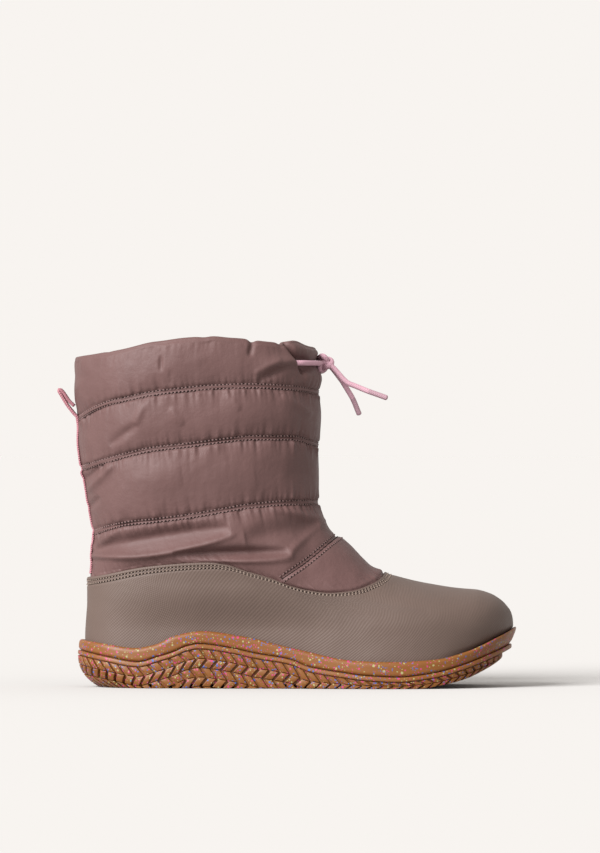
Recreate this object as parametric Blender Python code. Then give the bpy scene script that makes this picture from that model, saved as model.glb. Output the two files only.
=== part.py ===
"""Apres ski boot for a child's right foot, as an assembly of separate solids.

Metres, +Z up, +X towards the toe, the outer side of the boot towards -Y.
The origin is on the flat underside of the heel tread, 28 mm in front of the back of the heel.
"""
import math

import bmesh
import bpy
import numpy as np

# Sizes of the whole boot
outsole_length = 0.220
boot_height = 0.1745
heel_setback = 0.028
ball_width = 0.084
heel_width = 0.063
ankle_width = 0.073
collar_width = 0.088
gap = 0.0003

# Sizes of the sole
sole_side_height = 0.0285
tread_depth = 0.0028
outsole_base = 0.0020
outsole_rim = 0.0016
heel_cup_rise = 0.0055
flange_height = 0.0023
rib_pitch = 0.0062
rib_row_height = 0.0046
rib_depth = 0.0007
edge_lug_width = 0.0080
cup_plate = 0.0022
cup_wall = 0.0014
band_lean = 0.0011
toe_overhang = 0.0030
insole_thickness = 0.0040
insole_clearance = 0.0014
tread_bar_width = 0.0085
tread_bar_spacing = 0.0150
tread_bar_clearance = 0.0025
flange_top_inset = 0.0003
least_rib_room = 0.0006
band_groove_inset = 0.0009
band_low_inset = 0.0004
band_high_inset = 0.0005
band_groove_round = 0.0006
band_edge_round = 0.0026
insole_edge_round = 0.0012

# Sizes of the upper and what lies on it
upper_wall = 0.0032
feather_gap = 0.0008
puff_depth = 0.0032
rand_thickness = 0.0012
rand_tuck = 0.0050
panel_step = 0.0012
webbing_width = 0.0110
webbing_thickness = 0.0013
webbing_clearance = 0.0002
cord_diameter = 0.00265
knot_width = 0.0086
knot_height = 0.0100
knot_depth = 0.0056

# Shares: how far the heel's tread starts in front of the heel's back, and how far the bars sweep back
heel_tread_share = 0.36
tread_bar_sweep = 0.45

# How finely the curved pieces are divided
columns_per_side = 25
cup_columns_per_side = 52
insole_columns_per_side = 30

# Sole outline seen from above: share of the outsole length from the heel, then the outer and the
# inner side as shares of the local width, which grows from the heel width to the ball width
plan_rows = [
    # along, outer, inner
    (0.000, 0.000, 0.000),
    (0.012, 0.165, 0.160),
    (0.036, 0.285, 0.275),
    (0.075, 0.388, 0.372),
    (0.130, 0.455, 0.438),
    (0.200, 0.492, 0.470),
    (0.300, 0.508, 0.444),
    (0.400, 0.486, 0.408),
    (0.500, 0.470, 0.392),
    (0.600, 0.480, 0.418),
    (0.680, 0.500, 0.468),
    (0.760, 0.492, 0.499),
    (0.835, 0.448, 0.492),
    (0.900, 0.370, 0.455),
    (0.950, 0.262, 0.390),
    (0.982, 0.130, 0.300),
    (1.000, -0.085, 0.085),
]
heel_width_ends = 0.25
ball_width_starts = 0.65

# Heights along the sole: share of the outsole length, share of the sole's side height
band_top_rows = [
    (0.000, 0.842), (0.063, 0.772), (0.132, 0.702), (0.173, 0.754), (0.227, 0.930), (0.282, 1.000),
    (0.373, 0.912), (0.500, 0.684), (0.627, 0.491), (0.718, 0.470), (0.809, 0.509), (0.882, 0.649),
    (0.955, 0.877), (1.000, 1.018),
]
groove_rows = [
    (0.000, 0.650), (0.066, 0.544), (0.139, 0.456), (0.182, 0.544), (0.218, 0.632), (0.250, 0.737),
    (0.275, 0.772), (0.348, 0.702), (0.400, 0.614), (0.480, 0.509), (0.527, 0.375), (0.598, 0.281),
    (0.650, 0.228), (0.723, 0.200), (0.805, 0.263), (0.877, 0.404), (0.932, 0.554), (1.000, 0.740),
]
tread_line_rows = [
    (0.780, 0.000), (0.810, 0.040), (0.845, 0.095), (0.882, 0.175), (0.918, 0.298), (0.955, 0.456),
    (0.973, 0.561), (1.000, 0.760),
]
# The heel's rounded underside: share of the setback from the back of the heel, share of the side height
heel_round_rows = [
    (0.000, 0.439), (0.036, 0.333), (0.125, 0.228), (0.250, 0.123), (0.393, 0.018), (0.450, 0.000),
]

# Outline of the bare upper seen from the side: shares of the outsole length and the boot height
front_rows = [
    (0.9770, -0.100), (0.9770, 0.166), (0.9727, 0.207), (0.9668, 0.222), (0.9586, 0.238),
    (0.9441, 0.253), (0.9295, 0.261), (0.9059, 0.269), (0.8773, 0.272), (0.8364, 0.278),
    (0.7945, 0.287), (0.7532, 0.298), (0.7259, 0.307), (0.6968, 0.319), (0.6659, 0.334),
    (0.6423, 0.358), (0.6127, 0.393), (0.5850, 0.425), (0.5682, 0.449), (0.5536, 0.493),
    (0.5450, 0.530), (0.5432, 0.605), (0.5468, 0.693), (0.5486, 0.776), (0.5468, 0.842),
    (0.5455, 0.880), (0.5423, 0.908), (0.5341, 0.960), (0.5250, 1.060),
]
back_rows = [
    (0.0232, -0.100), (0.0232, 0.140), (0.0250, 0.192), (0.0273, 0.244), (0.0273, 0.295),
    (0.0314, 0.347), (0.0336, 0.381), (0.0359, 0.415), (0.0359, 0.441), (0.0336, 0.467),
    (0.0291, 0.501), (0.0223, 0.536), (0.0177, 0.570), (0.0132, 0.605), (0.0082, 0.628),
    (0.0045, 0.670), (0.0020, 0.708), (0.0010, 0.770), (-0.0070, 0.822), (-0.0090, 0.862),
    (-0.0064, 0.897), (-0.0010, 0.931), (0.0050, 0.990), (0.0070, 1.060),
]

# Loops around the upper, seen from the side, from the back seam to the front: shares of the loop's
# own length along X, and of the boot height
seam_tables = {
    "rand_middle": [
        (0.00, 0.225), (0.20, 0.228), (0.45, 0.205), (0.65, 0.185), (0.85, 0.205), (1.00, 0.256),
    ],
    "rand_top": [
        (0.00, 0.309), (0.07, 0.321), (0.14, 0.335), (0.20, 0.344), (0.34, 0.355), (0.41, 0.357),
        (0.475, 0.349), (0.525, 0.334), (0.61, 0.312), (0.68, 0.289), (0.745, 0.275), (0.815, 0.267),
        (0.88, 0.270), (0.95, 0.287), (0.985, 0.304), (1.00, 0.319),
    ],
    "seam_low": [
        (0.00, 0.441), (0.07, 0.456), (0.16, 0.470), (0.25, 0.476), (0.43, 0.490), (0.61, 0.510),
        (0.70, 0.519), (0.88, 0.527), (1.00, 0.526),
    ],
    "seam_middle": [
        (0.00, 0.625), (0.11, 0.648), (0.20, 0.665), (0.29, 0.679), (0.46, 0.693), (0.63, 0.708),
        (0.72, 0.713), (0.88, 0.713), (1.00, 0.693),
    ],
    "seam_high": [
        (0.00, 0.768), (0.05, 0.788), (0.13, 0.811), (0.22, 0.825), (0.30, 0.837), (0.47, 0.851),
        (0.55, 0.856), (0.72, 0.860), (0.89, 0.854), (1.00, 0.842),
    ],
    "collar": [
        (0.00, 0.936), (0.10, 0.947), (0.17, 0.954), (0.25, 0.965), (0.33, 0.978), (0.42, 0.986),
        (0.56, 0.994), (0.66, 0.989), (0.80, 0.979), (0.93, 0.974), (1.00, 0.963),
    ],
}
# Diagonal seam at the back of the vamp panel, and the stretch of the wall that it lies in
panel_seam_rows = [(0.461, 0.309), (0.520, 0.360), (0.580, 0.421), (0.620, 0.455)]
panel_stretch = 2
# Each stretch of the upper's wall from the feather edge up: loop it ends at, rings, inner rings, puff
wall_stretches = [
    ("rand_middle", 3, 2, 0.00),
    ("rand_top", 4, 3, 0.00),
    ("seam_low", 4, 2, 1.00),
    ("seam_middle", 3, 1, 1.00),
    ("seam_high", 3, 1, 0.95),
    ("collar", 4, 2, 0.60),
]

# Half width of the foot part without its rounded ends: share of the outsole length, of the ball width
foot_width_rows = [
    (0.00, 0.360), (0.25, 0.365), (0.45, 0.385), (0.65, 0.430), (0.80, 0.440), (0.92, 0.400), (1.00, 0.34),
]
# Half width of the shaft: share of the boot height, share of the way from ankle to collar width
shaft_width_rows = [
    (0.00, -0.20), (0.42, -0.05), (0.52, 0.00), (0.70, 0.42), (0.85, 0.78), (1.00, 1.00),
]

# Pull loop above the high seam, seen from the side: offsets from the point where the strip leaves the back
loop_width = 0.0095
loop_rise = 0.0145
loop_rows = [
    # out, up
    (0.16, 0.16), (0.50, 0.44), (0.82, 0.78), (0.97, 0.96),
    (0.90, 1.00), (0.72, 0.88), (0.45, 0.62), (0.17, 0.44),
]

# The free ends of the drawcord seen from the front of the knot: steps forward, outward and up
cord_end_rows = {
    "drawcord_end_long": [
        (0.0029, -0.0024, -0.0031), (0.0085, -0.0055, -0.0095),
        (0.0190, -0.0068, -0.0138), (0.0285, -0.0072, -0.0172),
    ],
    "drawcord_end_short": [
        (0.00235, 0.0013, -0.0033), (0.0068, 0.0024, -0.0092),
        (0.0120, 0.0034, -0.0178), (0.0150, 0.0040, -0.0252),
    ],
}
knot_height_share = 0.926
tunnel_mouth_share = 0.489

heel_back = -heel_setback
toe_tip = outsole_length - heel_setback
cup_inset = outsole_rim + gap + cup_wall
upper_inset = cup_inset + gap + rand_thickness + gap


def smoothstep(start, end, value):
    """Rise from 0 to 1 between two places, with level ends."""
    share = np.clip((value - start) / (end - start), 0.0, 1.0)
    return share * share * (3.0 - 2.0 * share)


def smooth_curve(rows, at):
    """Value at a place on the smooth curve through a table's rows, which never overshoots them."""
    places = np.array([row[0] for row in rows])
    values = np.array([row[1] for row in rows])
    steps = np.diff(places)
    slopes = np.diff(values) / steps
    tangents = np.zeros(len(rows))
    same_way = slopes[:-1] * slopes[1:] > 0.0
    mean = 2.0 * slopes[:-1] * slopes[1:] / np.where(same_way, slopes[:-1] + slopes[1:], 1.0)
    tangents[1:-1] = np.where(same_way, mean, 0.0)
    tangents[0] = slopes[0]
    tangents[-1] = slopes[-1]
    at = np.clip(at, places[0], places[-1])
    span = np.clip(np.searchsorted(places, at, side="right") - 1, 0, len(rows) - 2)
    share = (at - places[span]) / steps[span]
    rest = 1.0 - share
    start = values[span] * (1.0 + 2.0 * share) * rest * rest
    start = start + tangents[span] * steps[span] * share * rest * rest
    end = values[span + 1] * (3.0 - 2.0 * share) * share * share
    return start + end - tangents[span + 1] * steps[span] * share * share * rest


def along(x):
    """Share of the outsole length at a place."""
    return (np.asarray(x) - heel_back) / outsole_length


def side_height(rows, x):
    """Height of a line on the sole's side."""
    return smooth_curve(rows, along(x)) * sole_side_height


def tread_line(x):
    """Underside of the tread without the heel's rounding."""
    return side_height(tread_line_rows, x)


def band_top(x):
    """Upper edge of the band."""
    return side_height(band_top_rows, x)


def groove_line(x):
    """Line between the outsole and the band."""
    return side_height(groove_rows, x)


def ground(x):
    """Underside of the tread with the heel's rounding."""
    heel = smooth_curve(heel_round_rows, (np.asarray(x) - heel_back) / heel_setback) * sole_side_height
    return np.maximum(heel, tread_line(x))


def tray_floor(x):
    """Top of the outsole's base, cupped at the heel, which stays below the groove line."""
    base = tread_depth + outsole_base
    heel_cup = heel_cup_rise * smoothstep(0.1 * heel_setback, -0.5 * heel_setback, np.asarray(x))
    return np.minimum(np.maximum(ground(x), heel_cup) + base, groove_line(x) - gap)


def cup_floor(x):
    """Top of the midsole's plate."""
    return tray_floor(x) + gap + cup_plate


def heel_weight(x):
    """1 at the back of the heel, 0 from the origin forward."""
    return smoothstep(0.4 * heel_setback, -heel_setback, np.asarray(x))


def toe_weight(x):
    """0 behind the ball, 1 at the tip of the toe."""
    return smoothstep(0.76, 1.0, along(x))


def toe_lean(z):
    """How far the toe of the sole leans back at a height."""
    low = groove_line(toe_tip)
    high = band_top(toe_tip)
    return toe_overhang * np.clip((high - z) / (high - low), 0.0, 1.6)


def plan_points():
    """The sole's outline seen from above, dense, as two sides that run from heel to toe."""
    shares = np.array(plan_rows)
    grown = smoothstep(heel_width_ends, ball_width_starts, shares[:, 0])
    width = heel_width + (ball_width - heel_width) * grown
    x = heel_back + shares[:, 0] * outsole_length
    outer = np.column_stack([x, -shares[:, 1] * width])
    inner = np.column_stack([x, shares[:, 2] * width])
    loop = np.vstack([outer, inner[-2:0:-1]])
    count = len(loop)
    steps = 60
    dense = []
    for index in range(count):
        before, start, end, after = (loop[(index + shift) % count] for shift in (-1, 0, 1, 2))
        length = np.linalg.norm(end - start)
        tangent_start = (end - before) * length / (length + np.linalg.norm(start - before))
        tangent_end = (after - start) * length / (length + np.linalg.norm(after - end))
        for share in np.linspace(0.0, 1.0, steps, endpoint=False):
            rest = 1.0 - share
            point = start * (1.0 + 2.0 * share) * rest * rest
            point = point + end * (3.0 - 2.0 * share) * share * share
            point = point + tangent_start * share * rest * rest - tangent_end * share * share * rest
            dense.append(point)
    dense = np.array(dense)
    along_curve = np.roll(dense, -1, axis=0) - np.roll(dense, 1, axis=0)
    along_curve /= np.linalg.norm(along_curve, axis=1)[:, None]
    outward = np.column_stack([along_curve[:, 1], -along_curve[:, 0]])
    toe = (len(plan_rows) - 1) * steps
    outer_side = (dense[: toe + 1], outward[: toe + 1])
    back_again = np.r_[np.arange(len(dense) - 1, toe - 1, -1)]
    inner_side = (dense[np.r_[0, back_again]], outward[np.r_[0, back_again]])
    return outer_side, inner_side


plan_sides = plan_points()


def stations(count):
    """Places along X, from heel to toe, spaced evenly along the sole's edge."""
    x = np.linspace(heel_back, toe_tip, 4001)
    length = np.zeros(len(x))
    for points, _ in plan_sides:
        steps = np.linalg.norm(np.diff(points, axis=0), axis=1)
        length += np.interp(x, points[:, 0], np.r_[0.0, np.cumsum(steps)])
    return np.interp(np.linspace(0.0, length[-1], count + 1), length, x)


def sole_ring(count, inset, heel_shift, toe_shift, height, wave=0.0, wave_phase=0.0, wave_height=0.0):
    """Ring of 2 * count points around the sole, inset from its edge; a wave moves every second point in.

    It starts at the back of the heel and runs along the outer side to the toe."""
    x = stations(count)
    if wave_phase:
        x = x + wave_phase * np.gradient(x) * smoothstep(0.0, 0.01, along(x)) * smoothstep(1.0, 0.99, along(x))
    ring = []
    for side, (points, outward) in enumerate(plan_sides):
        order = np.arange(count + 1) if side == 0 else np.arange(count - 1, 0, -1)
        place = x[order]
        valley = (order % 2).astype(float)
        depth = inset + wave * valley
        flat = np.column_stack([np.interp(place, points[:, 0], points[:, axis]) for axis in (0, 1)])
        away = np.column_stack([np.interp(place, points[:, 0], outward[:, axis]) for axis in (0, 1)])
        away /= np.linalg.norm(away, axis=1)[:, None]
        moved = flat - away * depth[:, None]
        moved[:, 0] += heel_shift * heel_weight(moved[:, 0]) - toe_shift * toe_weight(moved[:, 0])
        level = height(moved[:, 0]) + wave_height * valley
        ring.append(np.column_stack([moved, level]))
    return np.vstack(ring)


def new_object(name, vertices, faces, material, smooth_angle=40.0):
    """Mesh object with its faces turned outward, shaded smooth where it is round."""
    mesh = bpy.data.meshes.new(name)
    mesh.from_pydata([tuple(float(value) for value in point) for point in vertices], [], faces)
    work = bmesh.new()
    work.from_mesh(mesh)
    bmesh.ops.remove_doubles(work, verts=work.verts, dist=1e-6)
    bmesh.ops.recalc_face_normals(work, faces=work.faces)
    work.to_mesh(mesh)
    work.free()
    mesh.shade_smooth()
    mesh.set_sharp_from_angle(angle=math.radians(smooth_angle))
    mesh.materials.append(material)
    thing = bpy.data.objects.new(name, mesh)
    bpy.context.scene.collection.objects.link(thing)
    return thing


def band_faces(first, second, count, flip=False):
    """Triangles between two rings, given the index of each ring's first point.

    Where two shells lie on each other, one of them flips its diagonals, so that both have the same."""
    faces = []
    for column in range(count):
        after = (column + 1) % count
        if flip:
            faces.append((first + column, first + after, second + column))
            faces.append((first + after, second + after, second + column))
        else:
            faces.append((first + column, first + after, second + after))
            faces.append((first + column, second + after, second + column))
    return faces


def ladder_faces(first, count):
    """Rungs across a ring that starts and ends its two sides at the heel and the toe."""
    half = count // 2
    faces = [(first, first + 1, first + count - 1)]
    for column in range(1, half - 1):
        near, far = first + column, first + count - column
        faces.append((near, near + 1, far - 1))
        faces.append((near, far - 1, far))
    faces.append((first + half - 1, first + half, first + half + 1))
    return faces


def rings_object(name, rings, material, smooth_angle=40.0):
    """Closed solid through stacked rings, with a ladder of rungs across the first and the last."""
    count = len(rings[0])
    faces = ladder_faces(0, count)
    for level in range(len(rings) - 1):
        faces += band_faces(level * count, (level + 1) * count, count)
    faces += ladder_faces((len(rings) - 1) * count, count)
    return new_object(name, np.vstack(rings), faces, material, smooth_angle)


def plain_material(name, colour, roughness):
    """Plain surface with a colour and a roughness."""
    material = bpy.data.materials.new(name)
    material.use_nodes = True
    shader = material.node_tree.nodes["Principled BSDF"]
    shader.inputs["Base Color"].default_value = (*colour, 1.0)
    shader.inputs["Roughness"].default_value = roughness
    shader.inputs["Metallic"].default_value = 0.0
    return material


def bar_outline(middle, reach):
    """Outline of one V-shaped tread bar that spans the space between the edge lugs."""
    outline = []
    half = 0.5 * tread_bar_width
    places = (-1.0, 0.0, 1.0)
    for place in places:
        outline.append((middle - half - tread_bar_sweep * abs(place) * reach, place * reach))
    for place in places[::-1]:
        outline.append((middle + half - tread_bar_sweep * abs(place) * reach, place * reach))
    return outline


def make_outsole(material):
    """Tray with a rim up to the groove line, a flange, zigzag ribs, edge lugs and V-shaped bars."""
    perimeter = sum(np.linalg.norm(np.diff(points, axis=0), axis=1).sum() for points, _ in plan_sides)
    count = 2 * round(perimeter / rib_pitch / 2.0)
    rib_rows = 4
    top_shift = toe_overhang
    bottom_toe_shift = 2.0 * toe_overhang
    bottom_heel_shift = heel_tread_share * heel_setback
    side_taper = 0.75 * outsole_rim
    rib_taper = 0.2 * outsole_rim

    def rib_line(row):
        """Height of one zigzag line, squeezed towards the tread line where the side is low."""
        def height(x):
            top = groove_line(x) - flange_height
            bottom = tread_line(x)
            room = np.maximum(top - bottom, least_rib_room)
            wanted = row * rib_row_height
            reach = rib_rows * rib_row_height
            squeezed = room * (1.0 - np.exp(-wanted / room)) / (1.0 - np.exp(-reach / room))
            return top - squeezed
        return height

    rings = [
        sole_ring(count, outsole_rim, 0.0, top_shift, tray_floor),
        sole_ring(count, outsole_rim, 0.0, top_shift, groove_line),
        sole_ring(count, flange_top_inset, 0.0, top_shift, groove_line),
        sole_ring(count, 0.0, 0.0, top_shift, lambda x: groove_line(x) - flange_height),
    ]
    for row in range(rib_rows):
        share = (row + 0.15) / rib_rows
        lean = share ** 2.5
        phase = 0.5 if row % 2 else -0.5
        rings.append(sole_ring(
            count, rib_taper * share, bottom_heel_shift * lean,
            top_shift + (bottom_toe_shift - top_shift) * share, rib_line(row + 0.15), rib_depth, phase))
    edge_insets = (side_taper, side_taper + edge_lug_width, side_taper + edge_lug_width)
    edge_heights = (0.0, 0.0, tread_depth)
    for inset, rise in zip(edge_insets, edge_heights):
        notch = 0.6 * tread_depth if rise == 0.0 else 0.0
        rings.append(sole_ring(
            count, inset, bottom_heel_shift, bottom_toe_shift, lambda x, rise=rise: tread_line(x) + rise,
            rib_depth if inset == side_taper else 0.0, 0.0, notch))
    body = rings_object("outsole", rings, material, 30.0)

    vertices = []
    faces = []
    inner_edge = side_taper + edge_lug_width
    last = toe_tip - bottom_toe_shift - inner_edge - 0.3 * tread_bar_spacing
    for bar in range(int(last / tread_bar_spacing) + 1):
        middle = bar * tread_bar_spacing
        at = middle - 0.2 * ball_width
        reach = min(abs(np.interp(at, points[:, 0], points[:, 1])) for points, _ in plan_sides)
        outline = bar_outline(middle, reach - inner_edge - tread_bar_clearance)
        start = len(vertices)
        for sunk in (0.0, tread_depth + 0.4 * outsole_base):
            vertices += [(x, y, float(tread_line(x)) + sunk) for x, y in outline]
        size = len(outline)
        half = size // 2
        for level in (start, start + size):
            for index in range(half - 1):
                near, far = level + index, level + size - index
                faces.append((near, near + 1, far - 2, far - 1))
        faces += band_faces(start, start + size, size)
    bars_object = new_object("tread_bars", vertices, faces, material)
    bars_object.hide_render = True
    bars_object.display_type = "WIRE"
    union = body.modifiers.new("tread bars", "BOOLEAN")
    union.operation = "UNION"
    union.solver = "EXACT"
    union.object = bars_object
    return body


def make_midsole(material):
    """Cup that sits in the outsole's tray: plate, wall, and the plain band above the groove."""
    count = cup_columns_per_side
    under = outsole_rim + gap
    low_shift = toe_overhang
    plate_shift = toe_lean(cup_floor(toe_tip - upper_inset))

    rings = [
        sole_ring(count, under, 0.0, low_shift, lambda x: tray_floor(x) + gap),
        sole_ring(count, under, 0.0, low_shift, lambda x: groove_line(x) + gap),
        sole_ring(count, band_groove_inset, 0.0, low_shift, lambda x: groove_line(x) + gap),
        sole_ring(
            count, band_low_inset, 0.0, low_shift * 0.9, lambda x: groove_line(x) + gap + band_groove_round),
        sole_ring(count, band_high_inset, 0.0, low_shift * 0.3, lambda x: band_top(x) - band_edge_round),
        sole_ring(count, band_lean, 0.0, -band_lean, band_top),
        sole_ring(count, cup_inset, 0.0, 0.0, band_top),
        sole_ring(count, cup_inset, 0.0, plate_shift, cup_floor),
    ]
    return rings_object("midsole", rings, material, 35.0)


def make_insole(material):
    """Loose footbed with a rounded upper edge, inside the upper."""
    count = insole_columns_per_side
    inset = upper_inset + upper_wall + insole_clearance
    shift = toe_lean(cup_floor(toe_tip - upper_inset))
    rings = [
        sole_ring(count, inset, 0.0, shift, lambda x: cup_floor(x) + 2.0 * gap),
        sole_ring(count, inset, 0.0, shift, lambda x: cup_floor(x) + 2.0 * gap + 0.7 * insole_thickness),
        sole_ring(
            count, inset + insole_edge_round, 0.0, shift, lambda x: cup_floor(x) + 2.0 * gap + insole_thickness),
    ]
    return rings_object("insole", rings, material, 50.0)


def profile(rows):
    """Dense side view line through a table of shares."""
    table = np.array(rows)
    order = np.arange(len(table))
    fine = np.linspace(0.0, len(table) - 1.0, 24 * len(table))
    x = smooth_curve(list(zip(order, table[:, 0])), fine) * outsole_length + heel_back
    z = smooth_curve(list(zip(order, table[:, 1])), fine) * boot_height
    return np.column_stack([x, z])


front_line = profile(front_rows)
back_line = profile(back_rows)


def distance_inside(x, z):
    """Distance in side view from the outline of the upper."""
    points = np.column_stack([np.ravel(x), np.ravel(z)])
    nearest = np.full(len(points), np.inf)
    for line in (front_line, back_line):
        start = line[:-1]
        step = line[1:] - start
        length = (step ** 2).sum(axis=1) + 1e-18
        offset = points[:, None, :] - start[None, :, :]
        share = np.clip((offset * step).sum(axis=2) / length, 0.0, 1.0)
        away = np.linalg.norm(offset - share[:, :, None] * step, axis=2).min(axis=1)
        nearest = np.minimum(nearest, away)
    return nearest.reshape(np.shape(x))


def foot_plan(x, z):
    """Centre and half width of the upper's foot part seen from above, at a height."""
    place = x + toe_lean(z) * toe_weight(x + toe_overhang)
    sides = []
    for points, outward in plan_sides:
        inset = points - outward * upper_inset
        sides.append(np.interp(place, inset[:, 0], inset[:, 1]))
    return 0.5 * (sides[0] + sides[1]), 0.5 * (sides[1] - sides[0])


def section(x, z):
    """Centre and half width of the bare upper at a place in the side view."""
    centre, foot_half = foot_plan(x, z)
    share = z / boot_height
    foot_full = smooth_curve(foot_width_rows, along(x)) * ball_width
    shaft_share = smooth_curve(shaft_width_rows, share)
    shaft_full = 0.5 * (ankle_width + (collar_width - ankle_width) * shaft_share)
    rising = smoothstep(0.28, 0.52, share)
    full = foot_full + (shaft_full - foot_full) * rising
    round_shaft = 0.262 * outsole_length
    round_toe = 0.150 * outsole_length
    round_length = round_shaft + (round_toe - round_shaft) * smoothstep(0.52, 0.82, along(x))
    inward = np.clip(distance_inside(x, z) / round_length, 0.0, 1.0)
    power = 2.25
    domed = full * (1.0 - (1.0 - inward) ** power) ** (1.0 / power)
    low = sole_side_height / boot_height
    free = smoothstep(low, low + 0.13, share)
    half = foot_half + (domed - foot_half) * free
    return centre * (1.0 - 0.8 * smoothstep(0.35, 0.60, share)), half


def nearest_on(line, height):
    """Index of the dense line's point at a height, counted from below."""
    return int(np.argmin(np.abs(line[:, 1] - height)))


def front_index(share_x, share_z):
    """Index of the point of the front line that is nearest to a place."""
    place = np.array([share_x * outsole_length + heel_back, share_z * boot_height])
    return int(np.argmin(np.linalg.norm(front_line - place, axis=1)))


front_ends = {
    "rand_middle": front_index(0.9441, 0.253),
    "rand_top": front_index(0.6968, 0.319),
    "seam_low": front_index(0.5450, 0.530),
    "seam_middle": front_index(0.5468, 0.693),
    "seam_high": front_index(0.5468, 0.842),
    "collar": front_index(0.5340, 0.963),
}


def feather_height(x):
    """Lower edge of the upper, just above the cup's plate."""
    return cup_floor(x) + feather_gap


def loop_line(name, steps):
    """Side view line of a loop, from the back line to the front line, as shares of its own X reach."""
    shares = 0.5 - 0.5 * np.cos(np.linspace(0.0, math.pi, steps))
    if name == "feather":
        front_x = toe_tip - upper_inset
        for _ in range(6):
            front_x = toe_tip - upper_inset - toe_lean(feather_height(front_x))
        back_x = heel_back + upper_inset
        x = back_x + shares * (front_x - back_x)
        return np.column_stack([x, feather_height(x)])
    rows = seam_tables[name]
    back_point = back_line[nearest_on(back_line, rows[0][1] * boot_height)]
    front_point = front_line[front_ends[name]]
    x = back_point[0] + shares * (front_point[0] - back_point[0])
    z = smooth_curve(rows, shares) * boot_height
    z += (back_point[1] - z[0]) * (1.0 - shares) ** 6 + (front_point[1] - z[-1]) * shares ** 6
    return np.column_stack([x, z])


def between_lines(low_name, high_name, share, steps):
    """Side view line of a ring between two loops, with its ends on the upper's outline."""
    low = loop_line(low_name, steps)
    high = loop_line(high_name, steps)
    blend = low + (high - low) * share
    ends = []
    for line, column in ((back_line, 0), (front_line, -1)):
        lower = int(np.argmin(np.linalg.norm(line - low[column], axis=1)))
        upper = int(np.argmin(np.linalg.norm(line - high[column], axis=1)))
        piece = line[lower: upper + 1]
        length = np.r_[0.0, np.cumsum(np.linalg.norm(np.diff(piece, axis=0), axis=1))]
        place = share * length[-1]
        ends.append(np.array([np.interp(place, length, piece[:, axis]) for axis in (0, 1)]))
    weight = 0.5 - 0.5 * np.cos(np.linspace(0.0, math.pi, steps))
    blend = blend + (ends[0] - blend[0]) * ((1.0 - weight) ** 2)[:, None]
    return blend + (ends[1] - blend[-1]) * (weight ** 2)[:, None]


def upper_ring(line):
    """Ring of points on the bare upper from its side view line, evenly spaced along each side."""
    centre, half = section(line[:, 0], line[:, 1])
    half[0] = 0.0
    half[-1] = 0.0
    ring = []
    for side, sign in enumerate((-1.0, 1.0)):
        points = np.column_stack([line[:, 0], centre + sign * half, line[:, 1]])
        length = np.r_[0.0, np.cumsum(np.linalg.norm(np.diff(points, axis=0), axis=1))]
        places = np.linspace(0.0, length[-1], columns_per_side + 1)
        if side == 1:
            places = places[-2:0:-1]
        ring.append(np.column_stack([np.interp(places, length, points[:, axis]) for axis in range(3)]))
    return np.vstack(ring)


def upper_grid():
    """All rings of the bare upper from the feather edge to the collar.

    Returns the points, and for each ring its stretch, its share of that stretch and its puff."""
    rings = [upper_ring(loop_line("feather", 241))]
    notes = [(0, 0.0, 0.0)]
    below = "feather"
    for stretch, (name, count, _, puff) in enumerate(wall_stretches):
        for step in range(1, count + 1):
            share = step / count
            line = loop_line(name, 241) if step == count else between_lines(below, name, share, 241)
            rings.append(upper_ring(line))
            notes.append((stretch, share, puff * max(math.sin(math.pi * share), 0.0) ** 0.6))
        below = name
    return np.array(rings), notes


def grid_normals(grid):
    """Outward normals of a grid of rings."""
    around = np.roll(grid, -1, axis=1) - np.roll(grid, 1, axis=1)
    upward = np.gradient(grid, axis=0)
    normals = np.cross(around, upward)
    return normals / np.linalg.norm(normals, axis=2)[:, :, None]


bare_grid, ring_notes = upper_grid()
bare_normals = grid_normals(bare_grid)


def puff(grid_point, ring):
    """How far the padded wall stands out at a point: less at the front and at the back seam.

    The vamp panel in front of the diagonal seam stands out by a step of its own."""
    stretch, _, fullness = ring_notes[ring]
    share = float(along(grid_point[0]))
    front = smoothstep(0.46, 0.53, share)
    back = smoothstep(0.12, 0.03, share)
    seam_height = np.interp(share, [row[0] for row in panel_seam_rows], [row[1] for row in panel_seam_rows])
    on_panel = stretch == panel_stretch and share > panel_seam_rows[0][0]
    on_panel = on_panel and fullness > 0.0 and grid_point[2] < seam_height * boot_height
    step = panel_step if on_panel else 0.0
    return puff_depth * fullness * (1.0 - 0.7 * front - 0.95 * back) + step


def outer_grid():
    """Outside of the padded upper."""
    grid = bare_grid.copy()
    for ring in range(grid.shape[0]):
        for column in range(grid.shape[1]):
            grid[ring, column] += bare_normals[ring, column] * puff(bare_grid[ring, column], ring)
    return grid


outside = outer_grid()


def make_upper(material):
    """Hollow padded wall from the feather edge to the rolled collar rim."""
    inner = bare_grid - bare_normals * upper_wall
    inner[0, :, 2] = bare_grid[0, :, 2]
    kept = [0]
    ring = 0
    for _, count, inner_count, _ in wall_stretches:
        for step in range(1, inner_count + 1):
            kept.append(ring + round(step * count / inner_count))
        ring += count
    rim = bare_grid[-1] - bare_normals[-1] * 0.5 * upper_wall
    rim[:, 2] += 0.35 * upper_wall
    rings = list(outside) + [rim] + [inner[index] for index in reversed(kept)]
    count = bare_grid.shape[1]
    faces = []
    for level in range(len(rings)):
        faces += band_faces(level * count, ((level + 1) % len(rings)) * count, count)
    return new_object("upper", np.vstack(rings), faces, material, 60.0)


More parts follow.
